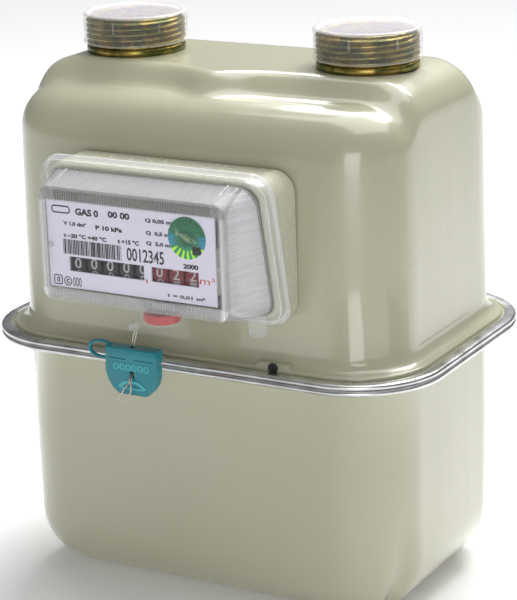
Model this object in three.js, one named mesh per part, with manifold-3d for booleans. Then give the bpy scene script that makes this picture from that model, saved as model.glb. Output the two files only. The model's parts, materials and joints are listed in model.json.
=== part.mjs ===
// Domestic diaphragm gas meter: a pressed steel case in two halves, a two-chamber
// measuring unit inside it, and a drum index under a clear cover on its front.
// Millimetres, +Z up, -Y to the front. The origin is the middle of the case's underside.
import * as THREE from 'three';
import { mergeVertices } from 'three/addons/utils/BufferGeometryUtils.js';
import Module from 'manifold-3d';

const wasm = await Module();
wasm.setup();

// ---------------------------------------------------------------- clearances
const FIT = 0.05; // between flat faces that rest on each other
const EASE = 0.3; // round or tapered pieces inside one another
const RUN = 0.25; // radial, round a turning shaft

// ---------------------------------------------------------------- pressed case
const CASE_WALL = 1.1;
const FLANGE_Z = 108.45; // middle of the joint between the two halves
const CASE_TOP = 222.5; // flat saddle that carries the spigots
const LEDGE_DROP = 8.5; // saddle down to the front and rear ledges
const SADDLE_FRONT = -28;
const SADDLE_REAR = 32;
const SADDLE_BULGE = 8; // swell of the saddle's front edge
const SADDLE_BLEND = 6; // half length of the step's curve
const UPPER_HALF_X = 90.6;
const UPPER_HALF_Y = 58.0;
const UPPER_CORNER = 27;
const UPPER_DRAFT = 1.0; // lost per side from flange to top
const LOWER_GROW = 0.8; // the lower half is this much larger each way
const LOWER_CORNER = 30;
const TOP_FILLET_ENDS = 17;
const TOP_FILLET_FRONT = 20;
const BASE_FILLET = 27;
const FLUTE_DEPTH = 4.2; // hollows pressed into the four lower corners
const FLUTE_ANGLE = 0.44; // from the end wall's normal, radians
const FLUTE_WIDTH = 0.2;
const FLUTE_TOP = 52;

// ---------------------------------------------------------------- flange and clamp band
const BAND_REACH = 11.9; // band beyond the upper wall
const BAND_CORNER = 37;
const BAND_SHEET = 0.8;
const BAND_LIP = 4.6;
const GASKET = 1.0;
const FLANGE_LAND = 3.0; // height of the painted shoulder inside the band

// ---------------------------------------------------------------- spigots and caps
const SPIGOT_SPACING = 110;
const THREAD_R = 20.95; // G 1 1/4
const THREAD_ROOT_R = 19.5;
const THREAD_PITCH = 2.309;
const THREAD_TURNS = 4;
const SPIGOT_BORE_R = 16;
const SPIGOT_NECK_R = 17.2;
const SPIGOT_HEIGHT = 15.2;
const COLLAR_HEIGHT = 3.2;
const CAP_WALL = 1.1;
const CAP_SKIRT = 12.6;

// ---------------------------------------------------------------- index housing
const INDEX_HALF_X = 52;
const INDEX_LIFT = 22.55; // its low edge above the flange
const INDEX_HEIGHT = 61;
const INDEX_CORNER = 9;
const INDEX_WALL = 2.2;
const RIM_LOW_DEPTH = 10.5; // the rim leans forward: its depth at the low edge
const RIM_HIGH_DEPTH = 23.3; // and at the high edge
const RIM_INSET = 2.1; // draft of the base's walls up to the rim
const RIM_LIFT = 0.5;
const COVER_FRONT_DEPTH = 38.9;
const COVER_WALL = 1.6;
const COVER_FRONT_HALF_X = 42.6;
const COVER_FRONT_LIFT = 8.9; // front face's low edge above the base's
const COVER_FRONT_HEIGHT = 46.6;
const COVER_CORNER = 5;
const SKIRT_DEPTH = 4.2;
const PLATE_LEFT = -40;
const PLATE_RIGHT = 36.6;
const PLATE_LIFT = 14.3;
const PLATE_HEIGHT = 35.3;
const PLATE_THICK = 0.8;
const PLATE_BEHIND_COVER = 0.9;
const STICKER_R = 8.4;
const STICKER_X = 24.2;
const STICKER_LIFT = 40.4;

// ---------------------------------------------------------------- register
const DRUM_R = 7.8;
const DRUM_WIDTH = 6.4;
const DRUM_PITCH = 7.5;
const FIRST_DRUM_X = -27.2;
const WHOLE_DRUMS = 5;
const PART_DRUMS = 3;
const POINT_GAP = 0.2; // extra room between whole and part drums
const WHOLE_WINDOW = [-30.6, 4.1]; // left and right edges of the plate's windows
const PART_WINDOW = [7.4, 28.8];
const DRUM_SHAFT_R = 1.0;
const DRUM_LIFT = 24.2;
const PINION_TIP_R = 2.6;
const PINION_ROOT_R = 1.7;
const PINION_TEETH = 8;
const PINION_WIDTH = 3.4;
const WINDOW_HALF_HEIGHT = 3.0;
const GEAR_INSET = 0.8; // its tips stay inside the drums' faces
const GEAR_TOOTH = 1.1;
const GEAR_TIP_R = DRUM_R - GEAR_INSET;
const GEAR_ROOT_R = GEAR_TIP_R - GEAR_TOOTH;
const GEAR_TEETH = 20;
const GEAR_WIDTH = 4;
const GEAR_X = 31.6;

// ---------------------------------------------------------------- seal
const PLUG_X = 5;
const PLUG_DEPTH = 25.9; // its axis in front of the case wall
const PLUG_R = 7.3;
const PLUG_LENGTH = 7;
const SLEEVE_WALL = 2.2;
const SLEEVE_LIFT = 0.6;
const BOSS_X = 43;
const BOSS_DEPTH = 16.9;
const BOSS_R = 3.8;
const TAG_X = -5.5;
const TAG_DEPTH = 32.4;
const TAG_THICK = 3.4;
const TAG_R = 12.3;
const TAG_DROP = 9.1; // top of the tag below the sleeve
const TAG_HEIGHT = 19.5;
const TAG_SHOULDER = 9; // disc's middle below the tag's top
const TAG_RIM = 5.5;
const WIRE_R = 0.33;
const WIRE_SLOT = 2.0;
const TAG_HOLE_DROP = 11.2;

// ---------------------------------------------------------------- measuring unit
const UNIT_HALF_X = 62;
const UNIT_BOTTOM = 14;
const UNIT_TOP = 118;
const UNIT_HALF_Y = 20;
const CHAMBER_R = 48;
const CHAMBER_Z = 64;
const CHAMBER_WALL = 4; // between the two chambers
const COVER_DEPTH = 26;
const CHAMBER_COVER_WALL = 2;
const DIAPHRAGM = 1.2;
const DISC_R = 38;
const DISC_THICK = 2;
const FLAG_X = -44;
const FLAG_Y = 11;
const REAR_FLAG_X = 44;
const FLAG_ROD_R = 2;
const CRANK_X = 17;
const CRANK_R = 6;
const VALVE_R = 22;
const SEAT_R = 26;
const SEAT_THICK = 4.7;
const VALVE_THICK = 4.7;
const SHAFT_R = 2.5;
const WORM_R = 3.6;
const WORM_LENGTH = 14;
const DRIVE_R = 2;
const ARM_REACH = 30;
const DUCT_R = 8.6;
const DUCT_WALL = 1.4;

// ---------------------------------------------------------------- derived places
const lowerHalfX = UPPER_HALF_X + LOWER_GROW;
const lowerHalfY = UPPER_HALF_Y + LOWER_GROW;
const frontWallY = -(UPPER_HALF_Y + 2 * FIT);
const indexLow = FLANGE_Z + INDEX_LIFT;
const indexHigh = indexLow + INDEX_HEIGHT;
const coverFrontY = frontWallY - COVER_FRONT_DEPTH;
const coverLow = indexLow + COVER_FRONT_LIFT;
const coverHigh = coverLow + COVER_FRONT_HEIGHT;
const plateLow = indexLow + PLATE_LIFT;
const plateHigh = plateLow + PLATE_HEIGHT;
const drumZ = indexLow + DRUM_LIFT;
const driveZ = drumZ - GEAR_TIP_R - DRIVE_R - RUN;
const sleeveBottom = indexLow + SLEEVE_LIFT;
const plugY = frontWallY - PLUG_DEPTH;
const tagY = frontWallY - TAG_DEPTH;
const tagTop = sleeveBottom - TAG_DROP;
const tagCentreZ = tagTop - TAG_SHOULDER;
const tagHoleZ = tagTop - TAG_HOLE_DROP;
const bandHalfX = UPPER_HALF_X + BAND_REACH;
const bandHalfY = UPPER_HALF_Y + BAND_REACH;
const slot = 2 * CASE_WALL + GASKET + 4 * FIT;
const bandTop = FLANGE_Z + slot / 2 + BAND_SHEET;
const bandBottom = FLANGE_Z - slot / 2 - BAND_SHEET;
const upperFlangeTop = FLANGE_Z + slot / 2 - FIT;
const upperFlangeFoot = upperFlangeTop - CASE_WALL;
const lowerFlangeFoot = FLANGE_Z - slot / 2 + FIT;
const lowerFlangeTop = lowerFlangeFoot + CASE_WALL;
const flangeInset = BAND_SHEET + EASE;
const spigotX = SPIGOT_SPACING / 2;
const spigotTop = CASE_TOP + FIT + SPIGOT_HEIGHT;
const drumY = coverFrontY + COVER_WALL + PLATE_BEHIND_COVER + PLATE_THICK + EASE + DRUM_R;
const plateFrontY = coverFrontY + COVER_WALL + PLATE_BEHIND_COVER;
const plateBackY = plateFrontY + PLATE_THICK;
const wheelR = GEAR_X - CRANK_X - WORM_R - RUN;
const seatTop = UNIT_TOP + FIT + SEAT_THICK;
const valveTop = seatTop + EASE + VALVE_THICK;
const crankDiscZ = driveZ + wheelR + 4;
const crankPinTop = crankDiscZ + 5;
const frontLinkZ = crankPinTop + EASE;
const rearLinkZ = frontLinkZ + 2 + EASE;

// ---------------------------------------------------------------- shape helpers
const PAINT = { color: 0xb9b8a4, roughness: 0.28, metalness: 0.1 };
const STEEL = { color: 0xa8aaad, roughness: 0.3, metalness: 0.9 };
const ZINC = { color: 0xb5a46c, roughness: 0.35, metalness: 0.85 };
const CLEAR = { color: 0xdfe3e6, roughness: 0.1, metalness: 0 };
const MILKY = { color: 0xd9d9d2, roughness: 0.35, metalness: 0 };
const CREAM = { color: 0xc6c4ac, roughness: 0.4, metalness: 0 };
const WHITE = { color: 0xe4e2ea, roughness: 0.5, metalness: 0 };
const BLACK = { color: 0x17171a, roughness: 0.5, metalness: 0 };
const DARK_RED = { color: 0x6d1620, roughness: 0.5, metalness: 0 };
const SEAL_RED = { color: 0xd0473c, roughness: 0.4, metalness: 0 };
const TEAL = { color: 0x11808a, roughness: 0.4, metalness: 0 };
const FOIL = { color: 0x2c8f5a, roughness: 0.25, metalness: 0.6 };
const RUBBER = { color: 0x2a2a2c, roughness: 0.8, metalness: 0 };
const CLOTH = { color: 0x4a4238, roughness: 0.9, metalness: 0 };
const GREY_PLASTIC = { color: 0x8f959b, roughness: 0.5, metalness: 0 };
const NATURAL_PLASTIC = { color: 0xd8d4c4, roughness: 0.5, metalness: 0 };
const BRASS = { color: 0xb08d4a, roughness: 0.35, metalness: 0.9 };
const BRIGHT_WIRE = { color: 0xc9c8bd, roughness: 0.35, metalness: 0.8 };

const model = new THREE.Group();

function asSolid(geometry) {
  const bare = geometry.index ? geometry.toNonIndexed() : geometry.clone();
  bare.deleteAttribute('normal');
  bare.deleteAttribute('uv');
  const merged = mergeVertices(bare, 1e-4);
  const solid = new wasm.Manifold(
    new wasm.Mesh({
      numProp: 3,
      vertProperties: new Float32Array(merged.attributes.position.array),
      triVerts: new Uint32Array(merged.index.array),
    }),
  );
  return solid;
}

function add(name, solid, finish) {
  const mesh = solid.getMesh();
  const geometry = new THREE.BufferGeometry();
  geometry.setAttribute('position', new THREE.BufferAttribute(mesh.vertProperties, 3));
  geometry.setIndex(new THREE.BufferAttribute(mesh.triVerts, 1));
  const piece = new THREE.Mesh(geometry, new THREE.MeshStandardMaterial(finish));
  piece.name = name;
  model.add(piece);
  return piece;
}

// A box between two corners.
function block(low, high) {
  const size = high.map((value, k) => value - low[k]);
  const middle = high.map((value, k) => (value + low[k]) / 2);
  return asSolid(new THREE.BoxGeometry(...size).translate(...middle));
}

// A body turned about an axis: the profile is [radius, height along the axis] pairs.
function turned(profile, axis, at, segments = 20, closed = false) {
  const points = profile.map(([r, h]) => new THREE.Vector2(r, h));
  if (closed) points.push(points[0].clone());
  const geometry = new THREE.LatheGeometry(points, segments);
  if (axis === 'z') geometry.rotateX(Math.PI / 2);
  if (axis === 'x') geometry.rotateZ(-Math.PI / 2);
  return outward(geometry.translate(...at));
}

function rod(axis, at, radius, from, to, segments = 16) {
  return turned([[0, from], [radius, from], [radius, to], [0, to]], axis, at, segments);
}

function tube(axis, at, inner, outer, from, to, segments = 20) {
  const wall = [[inner, from], [outer, from], [outer, to], [inner, to]];
  return turned(wall, axis, at, segments, true);
}

function signedVolume(geometry) {
  const p = geometry.attributes.position;
  const index = geometry.index;
  const count = index ? index.count : p.count;
  const corner = (k) => new THREE.Vector3().fromBufferAttribute(p, index ? index.getX(k) : k);
  let total = 0;
  for (let k = 0; k < count; k += 3) {
    total += corner(k).dot(corner(k + 1).cross(corner(k + 2)));
  }
  return total;
}

// A solid from a closed geometry, with its faces turned outwards.
function outward(geometry) {
  if (signedVolume(geometry) < 0) {
    const open = geometry.index ? geometry.toNonIndexed() : geometry;
    const p = open.attributes.position;
    for (let k = 0; k < p.count; k += 3) {
      const first = [p.getX(k), p.getY(k), p.getZ(k)];
      p.setXYZ(k, p.getX(k + 1), p.getY(k + 1), p.getZ(k + 1));
      p.setXYZ(k + 1, ...first);
    }
    return asSolid(open);
  }
  return asSolid(geometry);
}

// A flat outline of [x, y] pairs, extruded from z0 to z1, with an optional round hole.
function slab(outline, z0, z1, holes = []) {
  const shape = new THREE.Shape(outline.map(([x, y]) => new THREE.Vector2(x, y)));
  for (const [x, y, r, n = 12] of holes) {
    const path = [];
    for (let k = 0; k < n; k++) {
      const a = (2 * Math.PI * k) / n;
      path.push(new THREE.Vector2(x + r * Math.cos(a), y + r * Math.sin(a)));
    }
    shape.holes.push(new THREE.Path(path));
  }
  const geometry = new THREE.ExtrudeGeometry(shape, { depth: z1 - z0, bevelEnabled: false });
  return outward(geometry.translate(0, 0, z0));
}

function gearOutline(teeth, root, tip) {
  const outline = [];
  for (let k = 0; k < teeth; k++) {
    for (const [part, r] of [[0, root], [0.25, tip], [0.5, tip], [0.75, root]]) {
      const a = (2 * Math.PI * (k + part)) / teeth;
      outline.push([r * Math.cos(a), r * Math.sin(a)]);
    }
  }
  return outline;
}

// Rings of points joined into one closed skin. A loop joins its last ring to its first;
// otherwise each end is closed by a fan to the ring's own middle.
function skin(rings, loop = false) {
  const count = rings[0].length;
  const positions = [];
  const put = (...points) => points.forEach((p) => positions.push(...p));
  const last = loop ? rings.length : rings.length - 1;
  for (let r = 0; r < last; r++) {
    const a = rings[r];
    const b = rings[(r + 1) % rings.length];
    for (let k = 0; k < count; k++) {
      const n = (k + 1) % count;
      put(a[k], a[n], b[n]);
      put(a[k], b[n], b[k]);
    }
  }
  if (!loop) {
    for (const [ring, flip] of [[rings[0], true], [rings[rings.length - 1], false]]) {
      const middle = [0, 1, 2].map((axis) => ring.reduce((sum, p) => sum + p[axis], 0) / count);
      for (let k = 0; k < count; k++) {
        const n = (k + 1) % count;
        if (flip) put(ring[n], ring[k], middle);
        else put(ring[k], ring[n], middle);
      }
    }
  }
  const geometry = new THREE.BufferGeometry();
  geometry.setAttribute('position', new THREE.BufferAttribute(new Float32Array(positions), 3));
  return outward(geometry);
}

// A rounded rectangle about the origin as points with their outward direction.
// ends, sides and corner give how many steps each stretch has.
function roundedRing(halfX, halfY, radius, { ends, sides, corner }) {
  const r = Math.min(radius, halfX, halfY);
  const points = [];
  const quarter = [[1, -1, -0.5], [1, 1, 0], [-1, 1, 0.5], [-1, -1, 1]];
  quarter.forEach(([sx, sy, turn], q) => {
    const cx = sx * (halfX - r);
    const cy = sy * (halfY - r);
    for (let k = 0; k <= corner; k++) {
      const a = Math.PI * turn + (Math.PI / 2) * (k / corner);
      points.push([cx + r * Math.cos(a), cy + r * Math.sin(a), Math.cos(a), Math.sin(a)]);
    }
    const [nx, ny] = quarter[(q + 1) % 4];
    const here = points[points.length - 1];
    const a = Math.PI * turn + Math.PI / 2;
    const there = [nx * (halfX - r) + r * Math.cos(a), ny * (halfY - r) + r * Math.sin(a)];
    const steps = q % 2 === 0 ? ends : sides;
    for (let k = 1; k < steps; k++) {
      const t = k / steps;
      points.push([
        here[0] + (there[0] - here[0]) * t,
        here[1] + (there[1] - here[1]) * t,
        Math.cos(a),
        Math.sin(a),
      ]);
    }
  });
  return points;
}

const DOMED = { ends: 9, sides: 6, corner: 5 };
const PLAIN = { ends: 1, sides: 1, corner: 6 };

const smooth = (t) => {
  const u = Math.min(1, Math.max(0, t));
  return u * u * (3 - 2 * u);
};

// ---------------------------------------------------------------- case halves
// How far the top lies below the saddle at a point of the plan.
function ledgeDrop(x, y) {
  const bulge = SADDLE_BULGE * Math.exp(-((x / 14) ** 2));
  const front = smooth((SADDLE_FRONT - bulge - y + SADDLE_BLEND) / (2 * SADDLE_BLEND));
  const rear = smooth((y - SADDLE_REAR + SADDLE_BLEND) / (2 * SADDLE_BLEND));
  return LEDGE_DROP * Math.max(front, rear);
}

// Rings of the domed top, from its edge to near its middle, inset by the sheet when inside.
function topRings(inside) {
  const sheet = inside ? CASE_WALL : 0;
  const halfX = UPPER_HALF_X - UPPER_DRAFT - sheet;
  const halfY = UPPER_HALF_Y - UPPER_DRAFT - sheet;
  const corner = UPPER_CORNER - sheet;
  const rings = [];
  const stages = inside ? [0, 0.35, 0.7, 1] : [0, 0.25, 0.5, 0.75, 1];
  const deepest = TOP_FILLET_FRONT - sheet;
  for (const stage of stages) {
    const angle = (stage * Math.PI) / 2;
    const inset = (1 - Math.cos(angle)) * deepest;
    const ring = roundedRing(halfX - inset, halfY - inset, Math.max(corner - inset, 4), DOMED);
    rings.push(ring.map(([x, y, nx]) => {
      const fillet = deepest + (TOP_FILLET_ENDS - TOP_FILLET_FRONT) * nx * nx;
      const sink = (1 - Math.sin(angle)) * fillet;
      return [x, y, CASE_TOP - sheet - ledgeDrop(x, y) - sink];
    }));
  }
  const edge = roundedRing(halfX - deepest, halfY - deepest, Math.max(corner - deepest, 4), DOMED);
  for (const share of inside ? [0.62, 0.25] : [0.8, 0.55, 0.25]) {
    rings.push(edge.map(([x, y]) => {
      const px = x * (0.5 + 0.5 * share);
      const py = y * share;
      return [px, py, CASE_TOP - sheet - ledgeDrop(px, py)];
    }));
  }
  return rings;
}

const levelRing = (halfX, halfY, corner, z, steps = PLAIN) =>
  roundedRing(halfX, halfY, corner, steps).map(([x, y]) => [x, y, z]);

// A level ring set in from the band's outer edge.
const bandRing = (inset, z, steps = PLAIN) =>
  levelRing(bandHalfX - inset, bandHalfY - inset, BAND_CORNER - inset, z, steps);

function upperCase() {
  const atInset = (inset, z) => bandRing(inset, z, DOMED);
  const shoulder = upperFlangeTop + FLANGE_LAND - CASE_WALL;
  const drop = BAND_LIP + 1.4;
  const outside = [
    levelRing(UPPER_HALF_X, UPPER_HALF_Y, UPPER_CORNER, shoulder + 5, DOMED),
    atInset(BAND_REACH - 1, shoulder + 1.6),
    atInset(BAND_REACH - 3.4, shoulder),
    atInset(drop + 0.5, shoulder - 0.3),
    atInset(drop, upperFlangeTop),
    atInset(flangeInset, upperFlangeTop),
  ];
  const underside = [
    atInset(flangeInset, upperFlangeFoot),
    atInset(drop + CASE_WALL, upperFlangeFoot),
    atInset(drop + CASE_WALL + 0.4, shoulder - CASE_WALL),
    atInset(BAND_REACH - 2.4, shoulder - CASE_WALL + 0.3),
    levelRing(UPPER_HALF_X - CASE_WALL, UPPER_HALF_Y - CASE_WALL, UPPER_CORNER - CASE_WALL,
      shoulder + 5, DOMED),
  ];
  const shell = skin([
    ...topRings(false).reverse(),
    ...outside,
    ...underside,
    ...topRings(true),
  ]);
  const tab = block([34, -UPPER_HALF_Y - 5.4, shoulder - 0.4], [50, -UPPER_HALF_Y + 0.6, shoulder + 1.8]);
  const holeTop = CASE_TOP + 1;
  const holeFoot = CASE_TOP - CASE_WALL - 1;
  return shell
    .add(tab)
    .subtract(rod('z', [-spigotX, 0, 0], SPIGOT_NECK_R + EASE, holeFoot, holeTop, 28))
    .subtract(rod('z', [spigotX, 0, 0], SPIGOT_NECK_R + EASE, holeFoot, holeTop, 28))
    .subtract(rod('y', [GEAR_X, 0, driveZ], 5 + EASE, -UPPER_HALF_Y - 2, -UPPER_HALF_Y + 4));
}

// One ring of the lower case, its corners hollowed by the flutes.
function lowerRing(z, inside) {
  const sheet = inside ? CASE_WALL : 0;
  const fillet = BASE_FILLET - sheet;
  const rise = Math.max(0, fillet - (z - sheet));
  const inset = fillet - Math.sqrt(Math.max(0, fillet * fillet - rise * rise));
  const halfX = lowerHalfX - sheet - inset;
  const halfY = lowerHalfY - sheet - inset;
  const depth = FLUTE_DEPTH * smooth((FLUTE_TOP - z) / (FLUTE_TOP - 12));
  const ring = roundedRing(halfX, halfY, Math.max(LOWER_CORNER - sheet - inset, 4), PLAIN);
  return ring.map(([x, y, nx, ny]) => {
    const turn = Math.acos(Math.min(1, Math.abs(nx)));
    const hollow = depth * Math.exp(-(((turn - FLUTE_ANGLE) / FLUTE_WIDTH) ** 2));
    return [x - hollow * nx, y - hollow * ny, z];
  });
}

function lowerCase() {
  const wallInset = bandHalfX - lowerHalfX;
  const levels = [0, 0.9, 3.5, 8, 15, 27, 40, 54, lowerFlangeFoot - 4];
  const floor = (inside) => {
    const ring = lowerRing(inside ? CASE_WALL : 0, inside);
    return ring.map(([x, y, z]) => [x * 0.3, y * 0.3, z]);
  };
  const outside = levels.map((z) => lowerRing(z, false));
  const within = levels
    .map((z) => Math.max(z, CASE_WALL))
    .filter((z, k, all) => k === 0 || z > all[k - 1])
    .map((z) => lowerRing(z, true));
  return skin([
    floor(false),
    ...outside,
    bandRing(wallInset - 1.2, lowerFlangeFoot - 1),
    bandRing(wallInset - 4, lowerFlangeFoot),
    bandRing(flangeInset, lowerFlangeFoot),
    bandRing(flangeInset, lowerFlangeTop),
    bandRing(wallInset - 3.6, lowerFlangeTop),
    bandRing(wallInset - 0.2, lowerFlangeTop - 1),
    ...within.reverse(),
    floor(true),
  ]);
}

function bandBody() {
  const half = (bandTop - bandBottom) / 2;
  const outer = [];
  for (let k = 0; k <= 6; k++) {
    const a = Math.PI / 2 - (Math.PI * k) / 6;
    outer.push(bandRing(half - half * Math.cos(a), FLANGE_Z + half * Math.sin(a)));
  }
  return skin([
    bandRing(BAND_LIP, bandTop),
    ...outer,
    bandRing(BAND_LIP, bandBottom),
    bandRing(BAND_LIP, bandBottom + BAND_SHEET),
    bandRing(BAND_SHEET, bandBottom + BAND_SHEET),
    bandRing(BAND_SHEET, bandTop - BAND_SHEET),
    bandRing(BAND_LIP, bandTop - BAND_SHEET),
  ], true);
}

function gasketBody() {
  const z0 = lowerFlangeTop + FIT;
  const z1 = z0 + GASKET;
  const deep = BAND_REACH - 4;
  return skin([
    bandRing(flangeInset, z0), bandRing(flangeInset, z1), bandRing(deep, z1), bandRing(deep, z0),
  ], true);
}

// ---------------------------------------------------------------- spigots and caps
function spigot(x) {
  const foot = CASE_TOP + FIT;
  const profile = [
    [SPIGOT_BORE_R, foot - 5],
    [SPIGOT_NECK_R, foot - 5],
    [SPIGOT_NECK_R, foot],
    [THREAD_R, foot],
    [THREAD_R, foot + COLLAR_HEIGHT - 0.5],
    [THREAD_ROOT_R, foot + COLLAR_HEIGHT],
  ];
  for (let k = 0; k < THREAD_TURNS; k++) {
    const z = foot + COLLAR_HEIGHT + 0.5 + k * THREAD_PITCH;
    profile.push([THREAD_ROOT_R, z]);
    profile.push([THREAD_R, z + THREAD_PITCH / 2]);
  }
  profile.push([THREAD_ROOT_R, spigotTop - 0.5]);
  profile.push([THREAD_ROOT_R - 0.6, spigotTop]);
  profile.push([SPIGOT_BORE_R, spigotTop]);
  return turned(profile, 'z', [x, 0, 0], 24, true);
}

function cap(x) {
  const inner = THREAD_R + EASE;
  const outer = inner + CAP_WALL;
  const ceiling = spigotTop + EASE;
  const top = ceiling + CAP_WALL;
  return turned([
    [0, ceiling],
    [inner, ceiling],
    [inner, top - CAP_SKIRT],
    [outer, top - CAP_SKIRT],
    [outer, top - 0.9],
    [outer - 0.9, top],
    [outer - 2.4, top],
    [outer - 2.8, top - 0.4],
    [0, top - 0.4],
  ], 'z', [x, 0, 0], 24);
}

// ---------------------------------------------------------------- index housing
const rimSlope = (RIM_HIGH_DEPTH - RIM_LOW_DEPTH) / INDEX_HEIGHT;
const rimY = (z) => frontWallY - RIM_LOW_DEPTH - rimSlope * (z - indexLow);

// A rounded rectangle standing upright, its depth given as a function of height.
function uprightRing(halfX, low, high, radius, depth) {
  const middle = (low + high) / 2;
  const steps = { ends: 1, sides: 1, corner: 5 };
  return roundedRing(halfX, (high - low) / 2, radius, steps).map(([x, v]) => {
    const z = middle + v;
    return [x, depth(z), z];
  });
}

const rimHalfX = INDEX_HALF_X - RIM_INSET;
const rimLow = indexLow + RIM_INSET + RIM_LIFT;
const rimHigh = indexHigh;

function indexBase() {
  const body = skin([
    uprightRing(INDEX_HALF_X, indexLow, indexHigh, INDEX_CORNER, () => frontWallY),
    uprightRing(rimHalfX, rimLow, rimHigh, INDEX_CORNER - 1, rimY),
    uprightRing(rimHalfX - INDEX_WALL, rimLow + INDEX_WALL, rimHigh - INDEX_WALL,
      INDEX_CORNER - 3, rimY),
    uprightRing(INDEX_HALF_X - INDEX_WALL, indexLow + INDEX_WALL + 0.6, indexHigh - INDEX_WALL,
      INDEX_CORNER - 2, () => frontWallY - INDEX_WALL),
  ]);
  const lugTop = screwSeatZ + COVER_WALL + FIT + 3;
  const lug = block([PLUG_X - 4, plugY - 4, screwSeatZ + COVER_WALL + FIT],
    [PLUG_X + 4, frontWallY - 1, lugTop]);
  return body
    .add(lug)
    .subtract(rod('z', [PLUG_X, plugY, 0], 1.5 + EASE, screwSeatZ, lugTop + 1))
    .subtract(rod('y', [GEAR_X, 0, driveZ], 8 + EASE, frontWallY - INDEX_WALL - 1, frontWallY + 1));
}

const screwSeatZ = sleeveBottom + PLUG_LENGTH + 2.4;
const sleeveR = PLUG_R + EASE + SLEEVE_WALL;

function indexCover() {
  const back = (offset) => (z) => rimY(z) + offset;
  const plane = (y) => () => y;
  const skirtIn = EASE;
  const skirtOut = EASE + COVER_WALL;
  const skirtFlare = ((RIM_INSET + RIM_LIFT) * SKIRT_DEPTH) / RIM_LOW_DEPTH;
  const atRim = (grow, radius, offset) => uprightRing(
    rimHalfX + grow, rimLow - grow, rimHigh + grow, radius, back(offset));
  const flangeBack = -FIT * 2;
  const flangeFront = flangeBack - 1.4;
  const front = (grow, y) => uprightRing(COVER_FRONT_HALF_X + grow, coverLow - grow,
    coverHigh + grow, COVER_CORNER + grow, plane(y));
  const shell = skin([
    front(-1, coverFrontY),
    front(0, coverFrontY + 1),
    atRim(-1.8, INDEX_CORNER - 1, flangeFront - 0.6),
    atRim(-1.6, INDEX_CORNER - 1, flangeFront),
    atRim(skirtOut - 0.5, INDEX_CORNER, flangeFront),
    atRim(skirtOut, INDEX_CORNER, flangeFront + 0.6),
    atRim(skirtOut + skirtFlare, INDEX_CORNER, SKIRT_DEPTH),
    atRim(skirtIn + skirtFlare, INDEX_CORNER - 1, SKIRT_DEPTH),
    atRim(skirtIn, INDEX_CORNER - 1, flangeBack),
    atRim(-3.4, INDEX_CORNER - 2, flangeBack),
    front(-COVER_WALL, coverFrontY + COVER_WALL),
  ]);
  const at = [PLUG_X, plugY, 0];
  const boss = [BOSS_X, frontWallY - BOSS_DEPTH, 0];
  return shell
    .add(rod('z', at, sleeveR, sleeveBottom, screwSeatZ + COVER_WALL, 24))
    .add(rod('z', boss, BOSS_R, sleeveBottom - 2.4, sleeveBottom + 6, 16))
    .add(block([TAG_X + 0.2, plugY - sleeveR + 0.6, sleeveBottom - 1.4],
      [TAG_X + 3.2, plugY - sleeveR + 4, sleeveBottom + 1.6]))
    .subtract(rod('z', at, PLUG_R + EASE, sleeveBottom - 1, screwSeatZ, 24))
    .subtract(rod('z', at, 1.5 + EASE, screwSeatZ - 1, screwSeatZ + COVER_WALL + 1));
}

const drumCentres = [];
for (let k = 0; k < WHOLE_DRUMS + PART_DRUMS; k++) {
  const extra = k < WHOLE_DRUMS ? 0 : POINT_GAP;
  drumCentres.push(FIRST_DRUM_X + k * DRUM_PITCH + extra);
}
const pinionY = drumY + (DRUM_R + PINION_TIP_R + RUN) * Math.SQRT1_2;
const pinionZ = drumZ + (DRUM_R + PINION_TIP_R + RUN) * Math.SQRT1_2;
const cheekLeft = FIRST_DRUM_X - DRUM_PITCH / 2 - 2.4;
const cheekRight = GEAR_X + GEAR_WIDTH / 2 + 1;

function indexPlate() {
  const plate = block([PLATE_LEFT, plateFrontY, plateLow], [PLATE_RIGHT, plateBackY, plateHigh]);
  const window = ([left, right]) => block(
    [left, plateFrontY - 1, drumZ - WINDOW_HALF_HEIGHT],
    [right, plateBackY + 1, drumZ + WINDOW_HALF_HEIGHT]);
  return plate.subtract(window(WHOLE_WINDOW)).subtract(window(PART_WINDOW));
}

function indexChassis() {
  const backY = frontWallY - INDEX_WALL - FIT;
  const low = driveZ + DRIVE_R + 1.4;
  const high = pinionZ + 5;
  const cheek = (x) => block([x, plateBackY + FIT, low], [x + 1.5, backY, high]);
  return block([cheekLeft, backY - 1.5, low], [cheekRight + 1.5, backY, high])
    .add(cheek(cheekLeft))
    .add(cheek(cheekRight))
    .subtract(rod('x', [0, drumY, drumZ], DRUM_SHAFT_R + FIT, cheekLeft - 1, cheekRight + 3, 12))
    .subtract(rod('x', [0, pinionY, pinionZ], DRUM_SHAFT_R + FIT, cheekLeft - 1, cheekRight + 3, 12));
}

const drum = (x) => tube('x', [x, drumY, drumZ], DRUM_SHAFT_R + RUN, DRUM_R,
  -DRUM_WIDTH / 2, DRUM_WIDTH / 2, 20);

function toothedWheel(x, y, z, teeth, root, tip, width, bore) {
  return slab(gearOutline(teeth, root, tip), -width / 2, width / 2, [[0, 0, bore]])
    .rotate([0, 90, 0])
    .translate([x, y, z]);
}

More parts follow.
